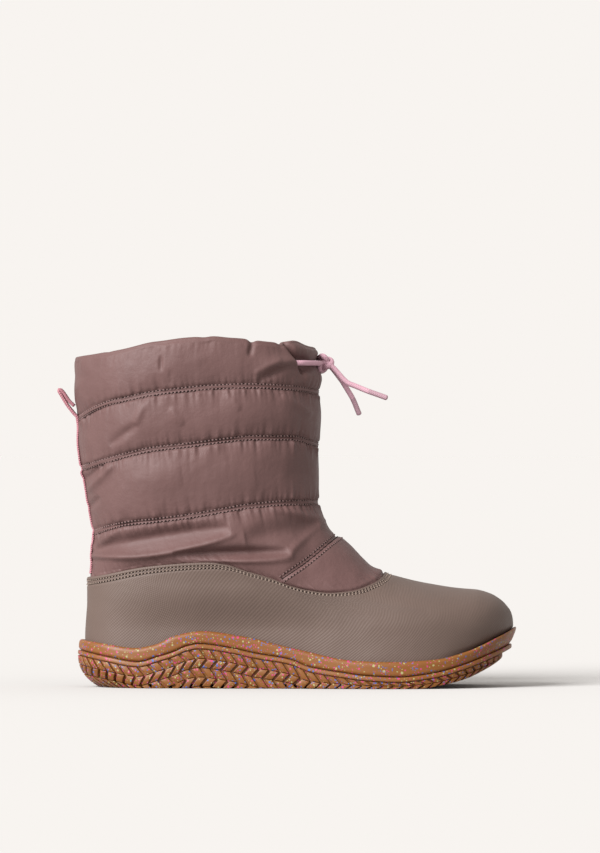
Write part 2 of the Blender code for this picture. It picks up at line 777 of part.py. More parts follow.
def make_rand(material):
    """Shell over the lower part of the upper, from inside the cup to its own curved top edge."""
    rings_up = 1 + wall_stretches[0][1] + wall_stretches[1][1]
    bare = bare_grid[:rings_up].copy()
    normals = bare_normals[:rings_up].copy()
    low_ring = bare[0].copy()
    tuck = band_top(low_ring[:, 0]) - rand_tuck
    share = np.clip((tuck - bare[0, :, 2]) / (bare[1, :, 2] - bare[0, :, 2]), 0.15, 0.95)
    bare[0] = bare[0] + (bare[1] - bare[0]) * share[:, None]
    normals[0] = normals[0] + (normals[1] - normals[0]) * share[:, None]
    inner = bare + normals * gap
    outer = bare + normals * (gap + rand_thickness)
    rings = list(outer) + list(inner[::-1])
    count = bare.shape[1]
    faces = []
    for level in range(len(rings)):
        flip = level >= len(outer)
        faces += band_faces(level * count, ((level + 1) % len(rings)) * count, count, flip)
    return new_object("rand", np.vstack(rings), faces, material, 50.0)


def ribbon(path, width, thickness):
    """Vertices and faces of a flat strap along a side view path."""
    path = np.array(path)
    tangent = np.gradient(path, axis=0)
    tangent /= np.linalg.norm(tangent, axis=1)[:, None]
    sideways = np.column_stack([-tangent[:, 1], tangent[:, 0]])
    left = path + sideways * 0.5 * thickness
    right = path - sideways * 0.5 * thickness
    vertices = []
    for index in range(len(path)):
        for flat, y in ((left[index], -1), (left[index], 1), (right[index], 1), (right[index], -1)):
            vertices.append((flat[0], y * 0.5 * width, flat[1]))
    faces = [(0, 1, 2, 3)]
    for index in range(len(path) - 1):
        faces += band_faces(4 * index, 4 * index + 4, 4)
    last = 4 * (len(path) - 1)
    faces.append((last, last + 1, last + 2, last + 3))
    return vertices, faces


def make_pull_loop(material):
    """Webbing strip up the back seam from the rand to the high seam, where it stands off as a loop."""
    first = wall_stretches[0][1] + wall_stretches[1][1]
    last = first + sum(row[1] for row in wall_stretches[2:5])
    back = outside[first: last + 1, 0][:, [0, 2]]
    heights = np.linspace(back[0, 1] + 2.0 * rand_thickness, back[-1, 1], 14)
    stand_off = gap + 0.5 * webbing_thickness
    strip = [(np.interp(z, back[:, 1], back[:, 0]) - stand_off - webbing_clearance, z) for z in heights]
    leave = strip[-1]
    loop = [(leave[0] - loop_width * out, leave[1] + loop_rise * up) for out, up in loop_rows]
    vertices, faces = ribbon(strip + loop, webbing_width, webbing_thickness)
    return new_object("pull_loop", vertices, faces, material, 30.0)


def tube(name, points, material):
    """Cord as a curve with a round bevel and closed ends, read from a smooth curve through its points."""
    points = np.array(points)
    order = np.arange(len(points))
    length = np.linalg.norm(np.diff(points, axis=0), axis=1).sum()
    count = max(4, round(length / (2.0 * cord_diameter)))
    fine = np.linspace(0.0, len(points) - 1.0, count + 1)
    smooth = np.column_stack([smooth_curve(list(zip(order, points[:, axis])), fine) for axis in range(3)])
    curve = bpy.data.curves.new(name, "CURVE")
    curve.dimensions = "3D"
    curve.bevel_depth = 0.5 * cord_diameter
    curve.bevel_resolution = 2
    curve.use_fill_caps = True
    spline = curve.splines.new("POLY")
    spline.points.add(len(smooth) - 1)
    for point, place in zip(spline.points, smooth):
        point.co = (*[float(value) for value in place], 1.0)
    curve.materials.append(material)
    thing = bpy.data.objects.new(name, curve)
    bpy.context.scene.collection.objects.link(thing)
    return thing


def make_drawcord(material):
    """Cord across the front of the collar between the tunnel mouths, its knot and two free ends."""
    height = knot_height_share * boot_height
    count = outside.shape[1]
    level = []
    for column in range(count):
        column_points = outside[-6:, column]
        level.append([np.interp(height, column_points[:, 2], column_points[:, axis]) for axis in range(2)])
    level = np.array(level)
    order = np.arange(count)
    fine = np.arange(0.0, count - 1.0, 0.25)
    level = np.column_stack([np.interp(fine, order, level[:, axis]) for axis in (0, 1)])
    mouth_x = heel_back + tunnel_mouth_share * outsole_length
    path = level[level[:, 0] > mouth_x][::2]
    tangent = np.gradient(path, axis=0)
    tangent /= np.linalg.norm(tangent, axis=1)[:, None]
    away = np.column_stack([tangent[:, 1], -tangent[:, 0]])
    stand_off = 0.5 * cord_diameter + 2.0 * gap
    path = path + away * stand_off
    points = np.column_stack([path, np.full(len(path), height)])
    tube("drawcord_bar", points, material)

    front_x = points[:, 0].max() + 0.5 * cord_diameter + gap
    work = bmesh.new()
    bmesh.ops.create_uvsphere(work, u_segments=12, v_segments=8, radius=0.5)
    for vertex in work.verts:
        vertex.co.x = front_x + (vertex.co.x + 0.5) * knot_depth
        vertex.co.y *= knot_width
        vertex.co.z = height + vertex.co.z * knot_height
    mesh = bpy.data.meshes.new("drawcord_knot")
    work.to_mesh(mesh)
    work.free()
    mesh.shade_smooth()
    mesh.materials.append(material)
    knot = bpy.data.objects.new("drawcord_knot", mesh)
    bpy.context.scene.collection.objects.link(knot)

    start = np.array([front_x + 0.5 * knot_depth, 0.0, height])
    for name, steps in cord_end_rows.items():
        tube(name, [start + np.array(step) for step in steps], material)


def build():
    """Clear the scene and model every piece."""
    for thing in list(bpy.data.objects):
        bpy.data.objects.remove(thing, do_unlink=True)
    gum = plain_material("speckled gum rubber", (0.38, 0.15, 0.06), 0.55)
    foam = plain_material("footbed textile", (0.12, 0.08, 0.08), 0.90)
    nylon = plain_material("quilted nylon", (0.19, 0.11, 0.10), 0.45)
    textile = plain_material("coated textile", (0.20, 0.14, 0.11), 0.70)
    webbing = plain_material("pink webbing", (0.50, 0.18, 0.20), 0.75)
    elastic = plain_material("pink elastic cord", (0.52, 0.30, 0.34), 0.70)
    make_outsole(gum)
    make_midsole(gum)
    make_insole(foam)
    make_upper(nylon)
    make_rand(textile)
    make_pull_loop(webbing)
    make_drawcord(elastic)


build()
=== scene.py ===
"""Looks of the child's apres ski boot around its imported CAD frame.

Metres, +Z up, +X towards the toe, the outer side of this right boot towards -Y.
"""
import math
import random

import bpy
import numpy as np
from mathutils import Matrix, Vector, noise
from mathutils.bvhtree import BVHTree


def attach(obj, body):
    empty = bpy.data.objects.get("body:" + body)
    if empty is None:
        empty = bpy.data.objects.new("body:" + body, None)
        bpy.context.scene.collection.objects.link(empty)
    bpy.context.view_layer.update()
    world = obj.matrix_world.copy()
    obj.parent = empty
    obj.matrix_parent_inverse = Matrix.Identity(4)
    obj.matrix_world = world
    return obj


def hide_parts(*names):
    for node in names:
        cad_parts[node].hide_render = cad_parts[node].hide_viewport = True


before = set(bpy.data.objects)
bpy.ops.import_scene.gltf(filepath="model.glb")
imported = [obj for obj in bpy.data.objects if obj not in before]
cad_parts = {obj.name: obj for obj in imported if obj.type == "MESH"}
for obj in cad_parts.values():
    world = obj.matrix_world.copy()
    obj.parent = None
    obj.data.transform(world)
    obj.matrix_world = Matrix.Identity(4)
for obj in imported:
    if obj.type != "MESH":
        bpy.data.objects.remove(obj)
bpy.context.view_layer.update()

# Sizes of the whole boot
outsole_length = 0.220
boot_height = 0.1745
heel_setback = 0.028
ball_width = 0.084
heel_width = 0.063
ankle_width = 0.073
collar_width = 0.088
gap = 0.0003

# Sizes of the sole
sole_side_height = 0.0285
tread_depth = 0.0028
outsole_base = 0.0020
outsole_rim = 0.0016
heel_cup_rise = 0.0055
flange_height = 0.0023
rib_pitch = 0.0052
rib_row_height = 0.0046
edge_lug_width = 0.0080
lug_relief = 0.0013
lug_slant = 0.0034
lug_width = 0.0037
lug_row_gap = 0.0002
cup_plate = 0.0022
cup_wall = 0.0014
band_lean = 0.0011
band_round = 0.0024
band_edge = 0.0012
toe_overhang = 0.0030
insole_thickness = 0.0040
insole_clearance = 0.0014
tread_bar_width = 0.0085
tread_bar_spacing = 0.0150

# Sizes of the upper and what lies on it
upper_wall = 0.0032
feather_gap = 0.0008
puff_depth = 0.0032
rand_thickness = 0.0012
rand_tuck = 0.0050
panel_step = 0.0012
webbing_width = 0.0110
webbing_thickness = 0.0013
# One face of the webbing with its thicker edges: half thickness and place across, as shares
webbing_section = ((1.0, -1.0), (1.25, -0.82), (1.0, -0.7), (1.0, 0.0), (1.0, 0.7), (1.25, 0.82), (1.0, 1.0))
cord_diameter = 0.00265
cord_end_bulge = 0.6
# Two points of the cord behind the tunnel's mouth: how far back and how far into the wall
hidden_cord = ((0.0045, 0.0012), (0.0016, 0.0006))
cord_sides = 16
tip_starts = 0.87
knot_width = 0.0086
knot_height = 0.0100
knot_depth = 0.0056
knot_shift = 0.0025
knot_tilt = math.radians(-28.0)

# Sole outline seen from above: share of the outsole length from the heel, then the outer and the
# inner side as shares of the local width, which grows from the heel width to the ball width
plan_rows = [
    # along, outer, inner
    (0.000, 0.000, 0.000),
    (0.012, 0.165, 0.160),
    (0.036, 0.285, 0.275),
    (0.075, 0.388, 0.372),
    (0.130, 0.455, 0.438),
    (0.200, 0.492, 0.470),
    (0.300, 0.508, 0.444),
    (0.400, 0.486, 0.408),
    (0.500, 0.470, 0.392),
    (0.600, 0.480, 0.418),
    (0.680, 0.500, 0.468),
    (0.760, 0.492, 0.499),
    (0.835, 0.448, 0.492),
    (0.900, 0.370, 0.455),
    (0.950, 0.262, 0.390),
    (0.982, 0.130, 0.300),
    (1.000, -0.085, 0.085),
]
heel_width_ends = 0.25
ball_width_starts = 0.65

# Heights along the sole: share of the outsole length, share of the sole's side height
band_top_rows = [
    (0.000, 0.842), (0.063, 0.772), (0.132, 0.702), (0.173, 0.754), (0.227, 0.930), (0.282, 1.000),
    (0.373, 0.912), (0.500, 0.684), (0.627, 0.491), (0.718, 0.470), (0.809, 0.509), (0.882, 0.649),
    (0.955, 0.895), (1.000, 1.060),
]
groove_rows = [
    (0.000, 0.650), (0.066, 0.544), (0.139, 0.456), (0.182, 0.544), (0.218, 0.632), (0.250, 0.737),
    (0.275, 0.772), (0.348, 0.702), (0.400, 0.614), (0.480, 0.509), (0.527, 0.375), (0.598, 0.281),
    (0.650, 0.228), (0.723, 0.200), (0.805, 0.270), (0.877, 0.420), (0.932, 0.585), (1.000, 0.800),
]
tread_line_rows = [
    (0.780, 0.000), (0.810, 0.040), (0.845, 0.095), (0.882, 0.175), (0.918, 0.298), (0.955, 0.456),
    (0.973, 0.561), (1.000, 0.760),
]
# The heel's rounded underside: share of the setback from the heel's back, share of the side height
heel_round_rows = [
    (0.000, 0.439), (0.036, 0.333), (0.125, 0.228), (0.250, 0.123), (0.393, 0.018), (0.450, 0.000),
]

# Outline of the bare upper seen from the side: shares of the outsole length and the boot height
front_rows = [
    (0.9770, -0.100), (0.9770, 0.166), (0.9727, 0.207), (0.9668, 0.222), (0.9586, 0.238),
    (0.9441, 0.253), (0.9295, 0.261), (0.9059, 0.269), (0.8773, 0.272), (0.8364, 0.278),
    (0.7945, 0.287), (0.7532, 0.298), (0.7259, 0.307), (0.6968, 0.319), (0.6659, 0.334),
    (0.6423, 0.358), (0.6127, 0.393), (0.5850, 0.425), (0.5682, 0.449), (0.5536, 0.493),
    (0.5450, 0.530), (0.5432, 0.605), (0.5468, 0.693), (0.5486, 0.776), (0.5468, 0.842),
    (0.5455, 0.880), (0.5423, 0.908), (0.5341, 0.960), (0.5250, 1.060),
]
back_rows = [
    (0.0232, -0.100), (0.0232, 0.140), (0.0250, 0.192), (0.0273, 0.244), (0.0273, 0.295),
    (0.0314, 0.347), (0.0336, 0.381), (0.0359, 0.415), (0.0359, 0.441), (0.0336, 0.467),
    (0.0291, 0.501), (0.0223, 0.536), (0.0177, 0.570), (0.0132, 0.605), (0.0082, 0.628),
    (0.0045, 0.670), (0.0020, 0.708), (0.0010, 0.770), (-0.0070, 0.822), (-0.0090, 0.862),
    (-0.0064, 0.897), (-0.0010, 0.931), (0.0050, 0.990), (0.0070, 1.060),
]

# Loops around the upper, seen from the side, from the back seam to the front: shares of the loop's
# own length along X, and of the boot height
seam_tables = {
    "rand_middle": [(0.00, 0.225), (0.20, 0.228), (0.45, 0.205), (0.65, 0.185), (0.85, 0.205), (1.00, 0.256)],
    "rand_top": [
        (0.00, 0.309), (0.07, 0.321), (0.14, 0.335), (0.20, 0.344), (0.34, 0.355), (0.41, 0.357),
        (0.475, 0.349), (0.525, 0.334), (0.61, 0.312), (0.68, 0.289), (0.745, 0.275), (0.815, 0.267),
        (0.88, 0.270), (0.95, 0.287), (0.985, 0.304), (1.00, 0.319),
    ],
    "seam_low": [
        (0.00, 0.441), (0.07, 0.456), (0.16, 0.470), (0.25, 0.476), (0.43, 0.490), (0.61, 0.510),
        (0.70, 0.519), (0.88, 0.527), (1.00, 0.526),
    ],
    "seam_middle": [
        (0.00, 0.625), (0.11, 0.648), (0.20, 0.665), (0.29, 0.679), (0.46, 0.693), (0.63, 0.708),
        (0.72, 0.713), (0.88, 0.713), (1.00, 0.693),
    ],
    "seam_high": [
        (0.00, 0.768), (0.05, 0.788), (0.13, 0.811), (0.22, 0.825), (0.30, 0.837), (0.47, 0.851),
        (0.55, 0.856), (0.72, 0.860), (0.89, 0.854), (1.00, 0.842),
    ],
    "collar": [
        (0.00, 0.936), (0.10, 0.947), (0.17, 0.954), (0.25, 0.965), (0.33, 0.978), (0.42, 0.986),
        (0.56, 0.994), (0.66, 0.989), (0.80, 0.979), (0.93, 0.974), (1.00, 0.963),
    ],
}
# Diagonal seam at the back of the vamp panel, and the stretch of the wall that it lies in
panel_seam_rows = [(0.461, 0.309), (0.520, 0.360), (0.580, 0.421), (0.620, 0.455)]
panel_stretch = 2
# Half width of the foot part without its rounded ends: share of the outsole length, of the ball width
foot_width_rows = [
    (0.00, 0.360), (0.25, 0.365), (0.45, 0.385), (0.65, 0.430), (0.80, 0.440), (0.92, 0.400), (1.00, 0.34),
]
# Half width of the shaft: share of the boot height, share of the way from ankle to collar width
shaft_width_rows = [
    (0.00, -0.20), (0.42, -0.05), (0.52, 0.00), (0.70, 0.42), (0.85, 0.78), (1.00, 1.00),
]

# Pull loop seen from the side: offsets from the point where the strip leaves the back
loop_width = 0.0095
loop_rise = 0.0145
loop_rows = [
    # out, up
    (0.16, 0.16), (0.50, 0.44), (0.82, 0.78), (0.97, 0.96),
    (0.90, 1.00), (0.72, 0.88), (0.45, 0.62), (0.17, 0.44),
]

# The free ends of the drawcord seen from the front of the knot: steps forward, outward and up
cord_end_rows = {
    "drawcord_end_long": [
        (0.0029, -0.0024, -0.0031), (0.0085, -0.0055, -0.0095),
        (0.0190, -0.0068, -0.0138), (0.0285, -0.0072, -0.0172),
    ],
    "drawcord_end_short": [
        (0.00235, 0.0013, -0.0033), (0.0068, 0.0024, -0.0092),
        (0.0120, 0.0034, -0.0178), (0.0150, 0.0040, -0.0252),
    ],
}
knot_height_share = 0.926
tunnel_mouth_share = 0.489

heel_back = -heel_setback
toe_tip = outsole_length - heel_setback
cup_inset = outsole_rim + gap + cup_wall
upper_inset = cup_inset + gap + rand_thickness + gap

# How finely the pieces are divided, and where their seams lie
line_steps = 401
upper_columns = 290
rand_columns = 220
midsole_columns = 260
outsole_columns = 250
insole_columns = 110
lining_rings = 34
upper_stretches = [
    ("rand_middle", 4, 0.00), ("rand_top", 8, 0.00), ("seam_low", 56, 1.00), ("seam_middle", 54, 1.00),
    ("seam_high", 46, 0.95), ("collar", 36, 0.60),
]
rand_stretches = [("rand_middle", 26, 0.0), ("rand_top", 48, 0.0)]
stitched_seams = ("seam_low", "seam_middle", "seam_high")
seam_row_offset = 0.00115
rand_row_offsets = (0.0015, 0.0033)
# Puckers beside each seam: share of their full size below and above it
pucker_rows = [
    ("rand_top", 0.0, 0.7), ("seam_low", 1.2, 1.0), ("seam_middle", 1.2, 1.0), ("seam_high", 1.1, 1.0),
    ("collar", 0.3, 0.0),
]
# Pitch around the seam, half width, height and length of the short and the long puckers
pucker_kinds = [(0.0027, 0.0008, 0.0011, 0.0038), (0.0100, 0.0013, 0.0007, 0.0075)]
stitch_pitch = 0.00185
# Length and radius of the threads of the channel seams, the rand and the vamp
seam_thread = (0.00132, 0.00040)
rand_thread = (0.00120, 0.00036)
vamp_thread = (0.00140, 0.00032)
# The vamp's seam: the radius of its dark tube of painted shade, the offset of its threads, and the half width
# seen from the front
vamp_shade_radius = 0.00038
vamp_row_offset = 0.0017
vamp_front = 0.014
# Rings of a thread: share of its length from the middle, share of its radius, and rise in radii
thread_stops = (
    (-0.5, 0.30, -0.75), (-0.36, 0.85, -0.1), (0.0, 1.0, 0.45), (0.36, 0.85, -0.1), (0.5, 0.30, -0.75),
)

# Folds in side view: depth and half width in metres, then shares of the outsole length
# and the boot height; troughs are negative
outer_folds = [
    (-0.0050, 0.0046, [(0.040, 0.398), (0.186, 0.430), (0.345, 0.460)]),
    (0.0021, 0.0018, [(0.005, 0.375), (0.141, 0.377), (0.232, 0.396), (0.300, 0.418), (0.359, 0.441)]),
    (-0.0042, 0.0026, [(0.222, 0.384), (0.350, 0.388), (0.474, 0.390)]),
    (0.0014, 0.0013, [(0.277, 0.366), (0.459, 0.367), (0.490, 0.400), (0.561, 0.479)]),
    (0.0010, 0.0020, [(0.009, 0.375), (0.098, 0.450)]),
    (0.0006, 0.0012, [(0.011, 0.341), (0.039, 0.358)]),
    (0.0012, 0.0022, [(0.436, 0.513), (0.550, 0.479)]),
    (-0.0030, 0.0058, [(0.380, 0.425), (0.545, 0.465)]),
    (0.0014, 0.0022, [(0.023, 0.559), (0.091, 0.645)]),
    (-0.0012, 0.0016, [(0.016, 0.593), (0.061, 0.636)]),
    (-0.0010, 0.0018, [(0.027, 0.513), (0.055, 0.544)]),
    (0.0010, 0.0090, [(0.130, 0.590), (0.240, 0.610)]),
    (-0.0008, 0.0080, [(0.400, 0.600), (0.520, 0.622)]),
    (-0.0012, 0.0022, [(0.077, 0.693), (0.141, 0.751)]),
    (0.0010, 0.0020, [(0.159, 0.817), (0.136, 0.751)]),
    (0.0009, 0.0020, [(0.214, 0.799), (0.243, 0.751)]),
    (0.0008, 0.0018, [(0.341, 0.837), (0.368, 0.794)]),
    (0.0010, 0.0024, [(0.459, 0.835), (0.532, 0.779)]),
    (-0.0010, 0.0010, [(0.193, 0.945), (0.193, 0.902)]),
    (-0.0006, 0.0012, [(0.214, 0.905), (0.216, 0.850)]),
    (-0.0016, 0.0018, [(0.405, 0.872), (0.470, 0.912), (0.495, 0.903)]),
    (0.0010, 0.0018, [(0.400, 0.895), (0.455, 0.935)]),
    (-0.0014, 0.0012, [(0.398, 0.990), (0.388, 0.945)]),
]
inner_folds = [
    (-0.0026, 0.0040, [(0.060, 0.400), (0.200, 0.418), (0.360, 0.448)]),
    (0.0014, 0.0018, [(0.020, 0.372), (0.180, 0.384), (0.380, 0.430)]),
    (-0.0016, 0.0019, [(0.250, 0.378), (0.480, 0.392)]),
    (0.0011, 0.0022, [(0.430, 0.505), (0.550, 0.470)]),
    (0.0012, 0.0024, [(0.030, 0.548), (0.110, 0.640)]),
    (-0.0010, 0.0020, [(0.090, 0.700), (0.160, 0.742)]),
    (0.0010, 0.0022, [(0.300, 0.806), (0.340, 0.750)]),
    (0.0009, 0.0022, [(0.450, 0.830), (0.520, 0.770)]),
    (-0.0010, 0.0012, [(0.300, 0.955), (0.305, 0.860)]),
    (-0.0016, 0.0018, [(0.405, 0.872), (0.470, 0.912), (0.495, 0.903)]),
]
# Notches in the outer side's rim: share of the outsole length, depth and half width in metres
rim_notches = [
    (0.398, 0.0013, 0.0019), (0.070, 0.0006, 0.0020), (0.290, 0.0005, 0.0030), (0.461, 0.0010, 0.0016),
    (0.495, -0.0016, 0.0050),
]
# Front of the collar: how far its edge leans, the depths of the cord's pocket, of the flap beside it and
# of the edge, the rises of the tunnel, the tab and the bulge below, and the fall of the rim
collar_edge_lean = 0.52
pocket_depth = 0.0030
flap_depth = 0.0003
edge_depth = 0.0015
tunnel_rise = 0.0023
tab_rise = 0.0020
bulge_rise = 0.0018
rim_fall = 0.0030
# Rise of the collar under the strap at the back
strap_rise = 0.0013


def smoothstep(start, end, value):
    """Rise from 0 to 1 between two places, with level ends."""
    share = np.clip((value - start) / (end - start), 0.0, 1.0)
    return share * share * (3.0 - 2.0 * share)


def ridge(value, place, half_width):
    """Bell of height 1 around a place."""
    return np.exp(-((value - place) / half_width) ** 2)


def hermite(start, end, tangent_start, tangent_end, share):
    """Cubic between two values with their tangents."""
    rest = 1.0 - share
    return (start * (1.0 + 2.0 * share) * rest * rest + end * (3.0 - 2.0 * share) * share * share
            + tangent_start * share * rest * rest - tangent_end * share * share * rest)


def smooth_curve(rows, at):
    """Value at a place on the smooth curve through a table's rows, which never overshoots them."""
    places, values = np.array(rows).T
    steps = np.diff(places)
    slopes = np.diff(values) / steps
    tangents = np.zeros(len(rows))
    same_way = slopes[:-1] * slopes[1:] > 0.0
    mean = 2.0 * slopes[:-1] * slopes[1:] / np.where(same_way, slopes[:-1] + slopes[1:], 1.0)
    tangents[1:-1] = np.where(same_way, mean, 0.0)
    tangents[0] = slopes[0]
    tangents[-1] = slopes[-1]
    at = np.clip(at, places[0], places[-1])
    span = np.clip(np.searchsorted(places, at, side="right") - 1, 0, len(rows) - 2)
    share = (at - places[span]) / steps[span]
    return hermite(values[span], values[span + 1], tangents[span] * steps[span],
                   tangents[span + 1] * steps[span], share)


def unit(vectors):
    """Vectors scaled to length 1."""
    return vectors / np.maximum(np.linalg.norm(vectors, axis=-1, keepdims=True), 1e-12)


def run_lengths(points):
    """Length along a line of points at each of them."""
    return np.r_[0.0, np.cumsum(np.linalg.norm(np.diff(points, axis=0), axis=1))]


def interpolate(at, places, table):
    """Each column of a table at given places."""
    return np.column_stack([np.interp(at, places, column) for column in table.T])


def along(x):
    """Share of the outsole length at a place."""
    return (np.asarray(x) - heel_back) / outsole_length


def side_height(rows, x):
    """Height of a line on the sole's side."""
    return smooth_curve(rows, along(x)) * sole_side_height


def tread_line(x):
    """Underside of the tread without the heel's rounding."""
    return side_height(tread_line_rows, x)


def band_top(x):
    """Upper edge of the band."""
    return side_height(band_top_rows, x)


def groove_line(x):
    """Line between the outsole and the band."""
    return side_height(groove_rows, x)


def flange_line(x):
    """Underside of the outsole's flange."""
    return groove_line(x) - flange_height


def ground(x):
    """Underside of the tread with the heel's rounding."""
    heel = smooth_curve(heel_round_rows, (np.asarray(x) - heel_back) / heel_setback) * sole_side_height
    return np.maximum(heel, tread_line(x))


def tray_floor(x):
    """Top of the outsole's base, cupped at the heel, which stays below the groove line."""
    base = tread_depth + outsole_base
    heel_cup = heel_cup_rise * smoothstep(0.1 * heel_setback, -0.5 * heel_setback, np.asarray(x))
    return np.minimum(np.maximum(ground(x), heel_cup) + base, groove_line(x) - gap)


def cup_floor(x):
    """Top of the midsole's plate."""
    return tray_floor(x) + gap + cup_plate


def heel_weight(x):
    """1 at the back of the heel, 0 from the origin forward."""
    return smoothstep(0.4 * heel_setback, -heel_setback, np.asarray(x))


def toe_weight(x):
    """0 behind the ball, 1 at the tip of the toe."""
    return smoothstep(0.76, 1.0, along(x))


def toe_lean(z):
    """How far the toe of the sole leans back at a height."""
    low = groove_line(toe_tip)
    high = band_top(toe_tip)
    return toe_overhang * np.clip((high - z) / (high - low), 0.0, 1.6)


def plan_points():
    """The sole's outline seen from above, dense, as two sides that run from heel to toe."""
    shares = np.array(plan_rows)
    grown = smoothstep(heel_width_ends, ball_width_starts, shares[:, 0])
    width = heel_width + (ball_width - heel_width) * grown
    x = heel_back + shares[:, 0] * outsole_length
    outer = np.column_stack([x, -shares[:, 1] * width])
    inner = np.column_stack([x, shares[:, 2] * width])
    loop = np.vstack([outer, inner[-2:0:-1]])
    count = len(loop)
    steps = 60
    dense = []
    for index in range(count):
        before, start, end, after = (loop[(index + shift) % count] for shift in (-1, 0, 1, 2))
        length = np.linalg.norm(end - start)
        tangent_start = (end - before) * length / (length + np.linalg.norm(start - before))
        tangent_end = (after - start) * length / (length + np.linalg.norm(after - end))
        for share in np.linspace(0.0, 1.0, steps, endpoint=False):
            dense.append(hermite(start, end, tangent_start, tangent_end, share))
    dense = np.array(dense)
    along_curve = unit(np.roll(dense, -1, axis=0) - np.roll(dense, 1, axis=0))
    outward = np.column_stack([along_curve[:, 1], -along_curve[:, 0]])
    toe = (len(plan_rows) - 1) * steps
    outer_side = (dense[: toe + 1], outward[: toe + 1])
    back_again = np.r_[0, np.arange(len(dense) - 1, toe - 1, -1)]
    inner_side = (dense[back_again], outward[back_again])
    return outer_side, inner_side


plan_sides = plan_points()


def stations(count):
    """Places along X, from heel to toe, spaced evenly along the sole's edge."""
    x = np.linspace(heel_back, toe_tip, 4001)
    length = np.zeros(len(x))
    for points, _ in plan_sides:
        length += np.interp(x, points[:, 0], run_lengths(points))
    return np.interp(np.linspace(0.0, length[-1], count + 1), length, x)


def sole_ring(count, inset, heel_shift, toe_shift, height):
    """Ring of 2 * count points around the sole, inset from its edge.

    It starts at the back of the heel and runs along the outer side to the toe."""
    x = stations(count)
    ring = []
    for side, (points, outward) in enumerate(plan_sides):
        place = x[np.arange(count + 1) if side == 0 else np.arange(count - 1, 0, -1)]
        away = unit(interpolate(place, points[:, 0], outward))
        moved = interpolate(place, points[:, 0], points) - away * inset
        moved[:, 0] += heel_shift * heel_weight(moved[:, 0]) - toe_shift * toe_weight(moved[:, 0])
        ring.append(np.column_stack([moved, height(moved[:, 0])]))
    return np.vstack(ring)


def ladder_faces(first, count):
    """Rungs across a ring that starts and ends its two sides at the heel and the toe."""
    half = count // 2
    faces = [(first, first + 1, first + count - 1)]
    for column in range(1, half - 1):
        near, far = first + column, first + count - column
        faces.append((near, near + 1, far - 1))
        faces.append((near, far - 1, far))
    faces.append((first + half - 1, first + half, first + half + 1))
    return faces


def band_faces(base, size, levels, flipped=False):
    """Quads between rings of points that follow one another from a base index."""
    faces = []
    for level in range(levels):
        near = base + level * size
        far = near + size
        for step in range(size):
            after = (step + 1) % size
            face = (near + step, near + after, far + after, far + step)
            faces.append(face[:1] + face[:0:-1] if flipped else face)
    return faces


def ring_stack(count):
    """Empty list of rings around the sole, and the function that adds one to it."""
    rings = []

    def add(inset, toe_shift, height, heel_shift=0.0):
        rings.append(sole_ring(count, inset, heel_shift, toe_shift, height))

    return rings, add


def stacked_rings(rings, flipped=False):
    """Vertices and faces of rings around the sole that follow one another, closed at both ends."""
    size = len(rings[0])
    last = len(rings) - 1
    faces = ladder_faces(0, size) + band_faces(0, size, last, flipped) + ladder_faces(last * size, size)
    return np.vstack(rings), faces


def profile(rows):
    """Dense side view line through a table of shares."""
    table = np.array(rows)
    order = np.arange(len(table))
    fine = np.linspace(0.0, len(table) - 1.0, 24 * len(table))
    x = smooth_curve(list(zip(order, table[:, 0])), fine) * outsole_length + heel_back
    z = smooth_curve(list(zip(order, table[:, 1])), fine) * boot_height
    return np.column_stack([x, z])


front_line = profile(front_rows)
back_line = profile(back_rows)


def distance_inside(x, z):
    """Distance in side view from the outline of the upper."""
    points = np.column_stack([np.ravel(x), np.ravel(z)])
    nearest = np.full(len(points), np.inf)
    for line in (front_line, back_line):
        start = line[:-1]
        step = line[1:] - start
        length = (step ** 2).sum(axis=1) + 1e-18
        offset = points[:, None, :] - start[None, :, :]
        share = np.clip((offset * step).sum(axis=2) / length, 0.0, 1.0)
        away = np.linalg.norm(offset - share[:, :, None] * step, axis=2).min(axis=1)
        nearest = np.minimum(nearest, away)
    return nearest.reshape(np.shape(x))


def foot_plan(x, z):
    """Centre and half width of the upper's foot part seen from above, at a height."""
    place = x + toe_lean(z) * toe_weight(x + toe_overhang)
    sides = []
    for points, outward in plan_sides:
        inset = points - outward * upper_inset
        sides.append(np.interp(place, inset[:, 0], inset[:, 1]))
    return 0.5 * (sides[0] + sides[1]), 0.5 * (sides[1] - sides[0])


def section(x, z):
    """Centre and half width of the bare upper at a place in the side view."""
    centre, foot_half = foot_plan(x, z)
    share = z / boot_height
    foot_full = smooth_curve(foot_width_rows, along(x)) * ball_width
    shaft_share = smooth_curve(shaft_width_rows, share)
    shaft_full = 0.5 * (ankle_width + (collar_width - ankle_width) * shaft_share)
    rising = smoothstep(0.28, 0.52, share)
    full = foot_full + (shaft_full - foot_full) * rising
    round_shaft = 0.262 * outsole_length
    round_toe = 0.150 * outsole_length
    round_length = round_shaft + (round_toe - round_shaft) * smoothstep(0.52, 0.82, along(x))
    inward = np.clip(distance_inside(x, z) / round_length, 0.0, 1.0)
    power = 2.25
    domed = full * (1.0 - (1.0 - inward) ** power) ** (1.0 / power)
    low = sole_side_height / boot_height
    free = smoothstep(low, low + 0.13, share)
    half = foot_half + (domed - foot_half) * free
    return centre * (1.0 - 0.8 * smoothstep(0.35, 0.60, share)), half


def nearest_on(line, height):
    """Index of the dense line's point at a height, counted from below."""
    return int(np.argmin(np.abs(line[:, 1] - height)))


def nearest_to(line, place):
    """Index of the dense line's point that is nearest to a place."""
    return int(np.argmin(np.linalg.norm(line - place, axis=1)))


def side_view(rows):
    """Places in side view from shares of the outsole length and the boot height."""
    return np.array(rows) * (outsole_length, boot_height) + (heel_back, 0.0)


def front_index(share_x, share_z):
    """Index of the point of the front line that is nearest to a place."""
    return nearest_to(front_line, side_view([(share_x, share_z)])[0])


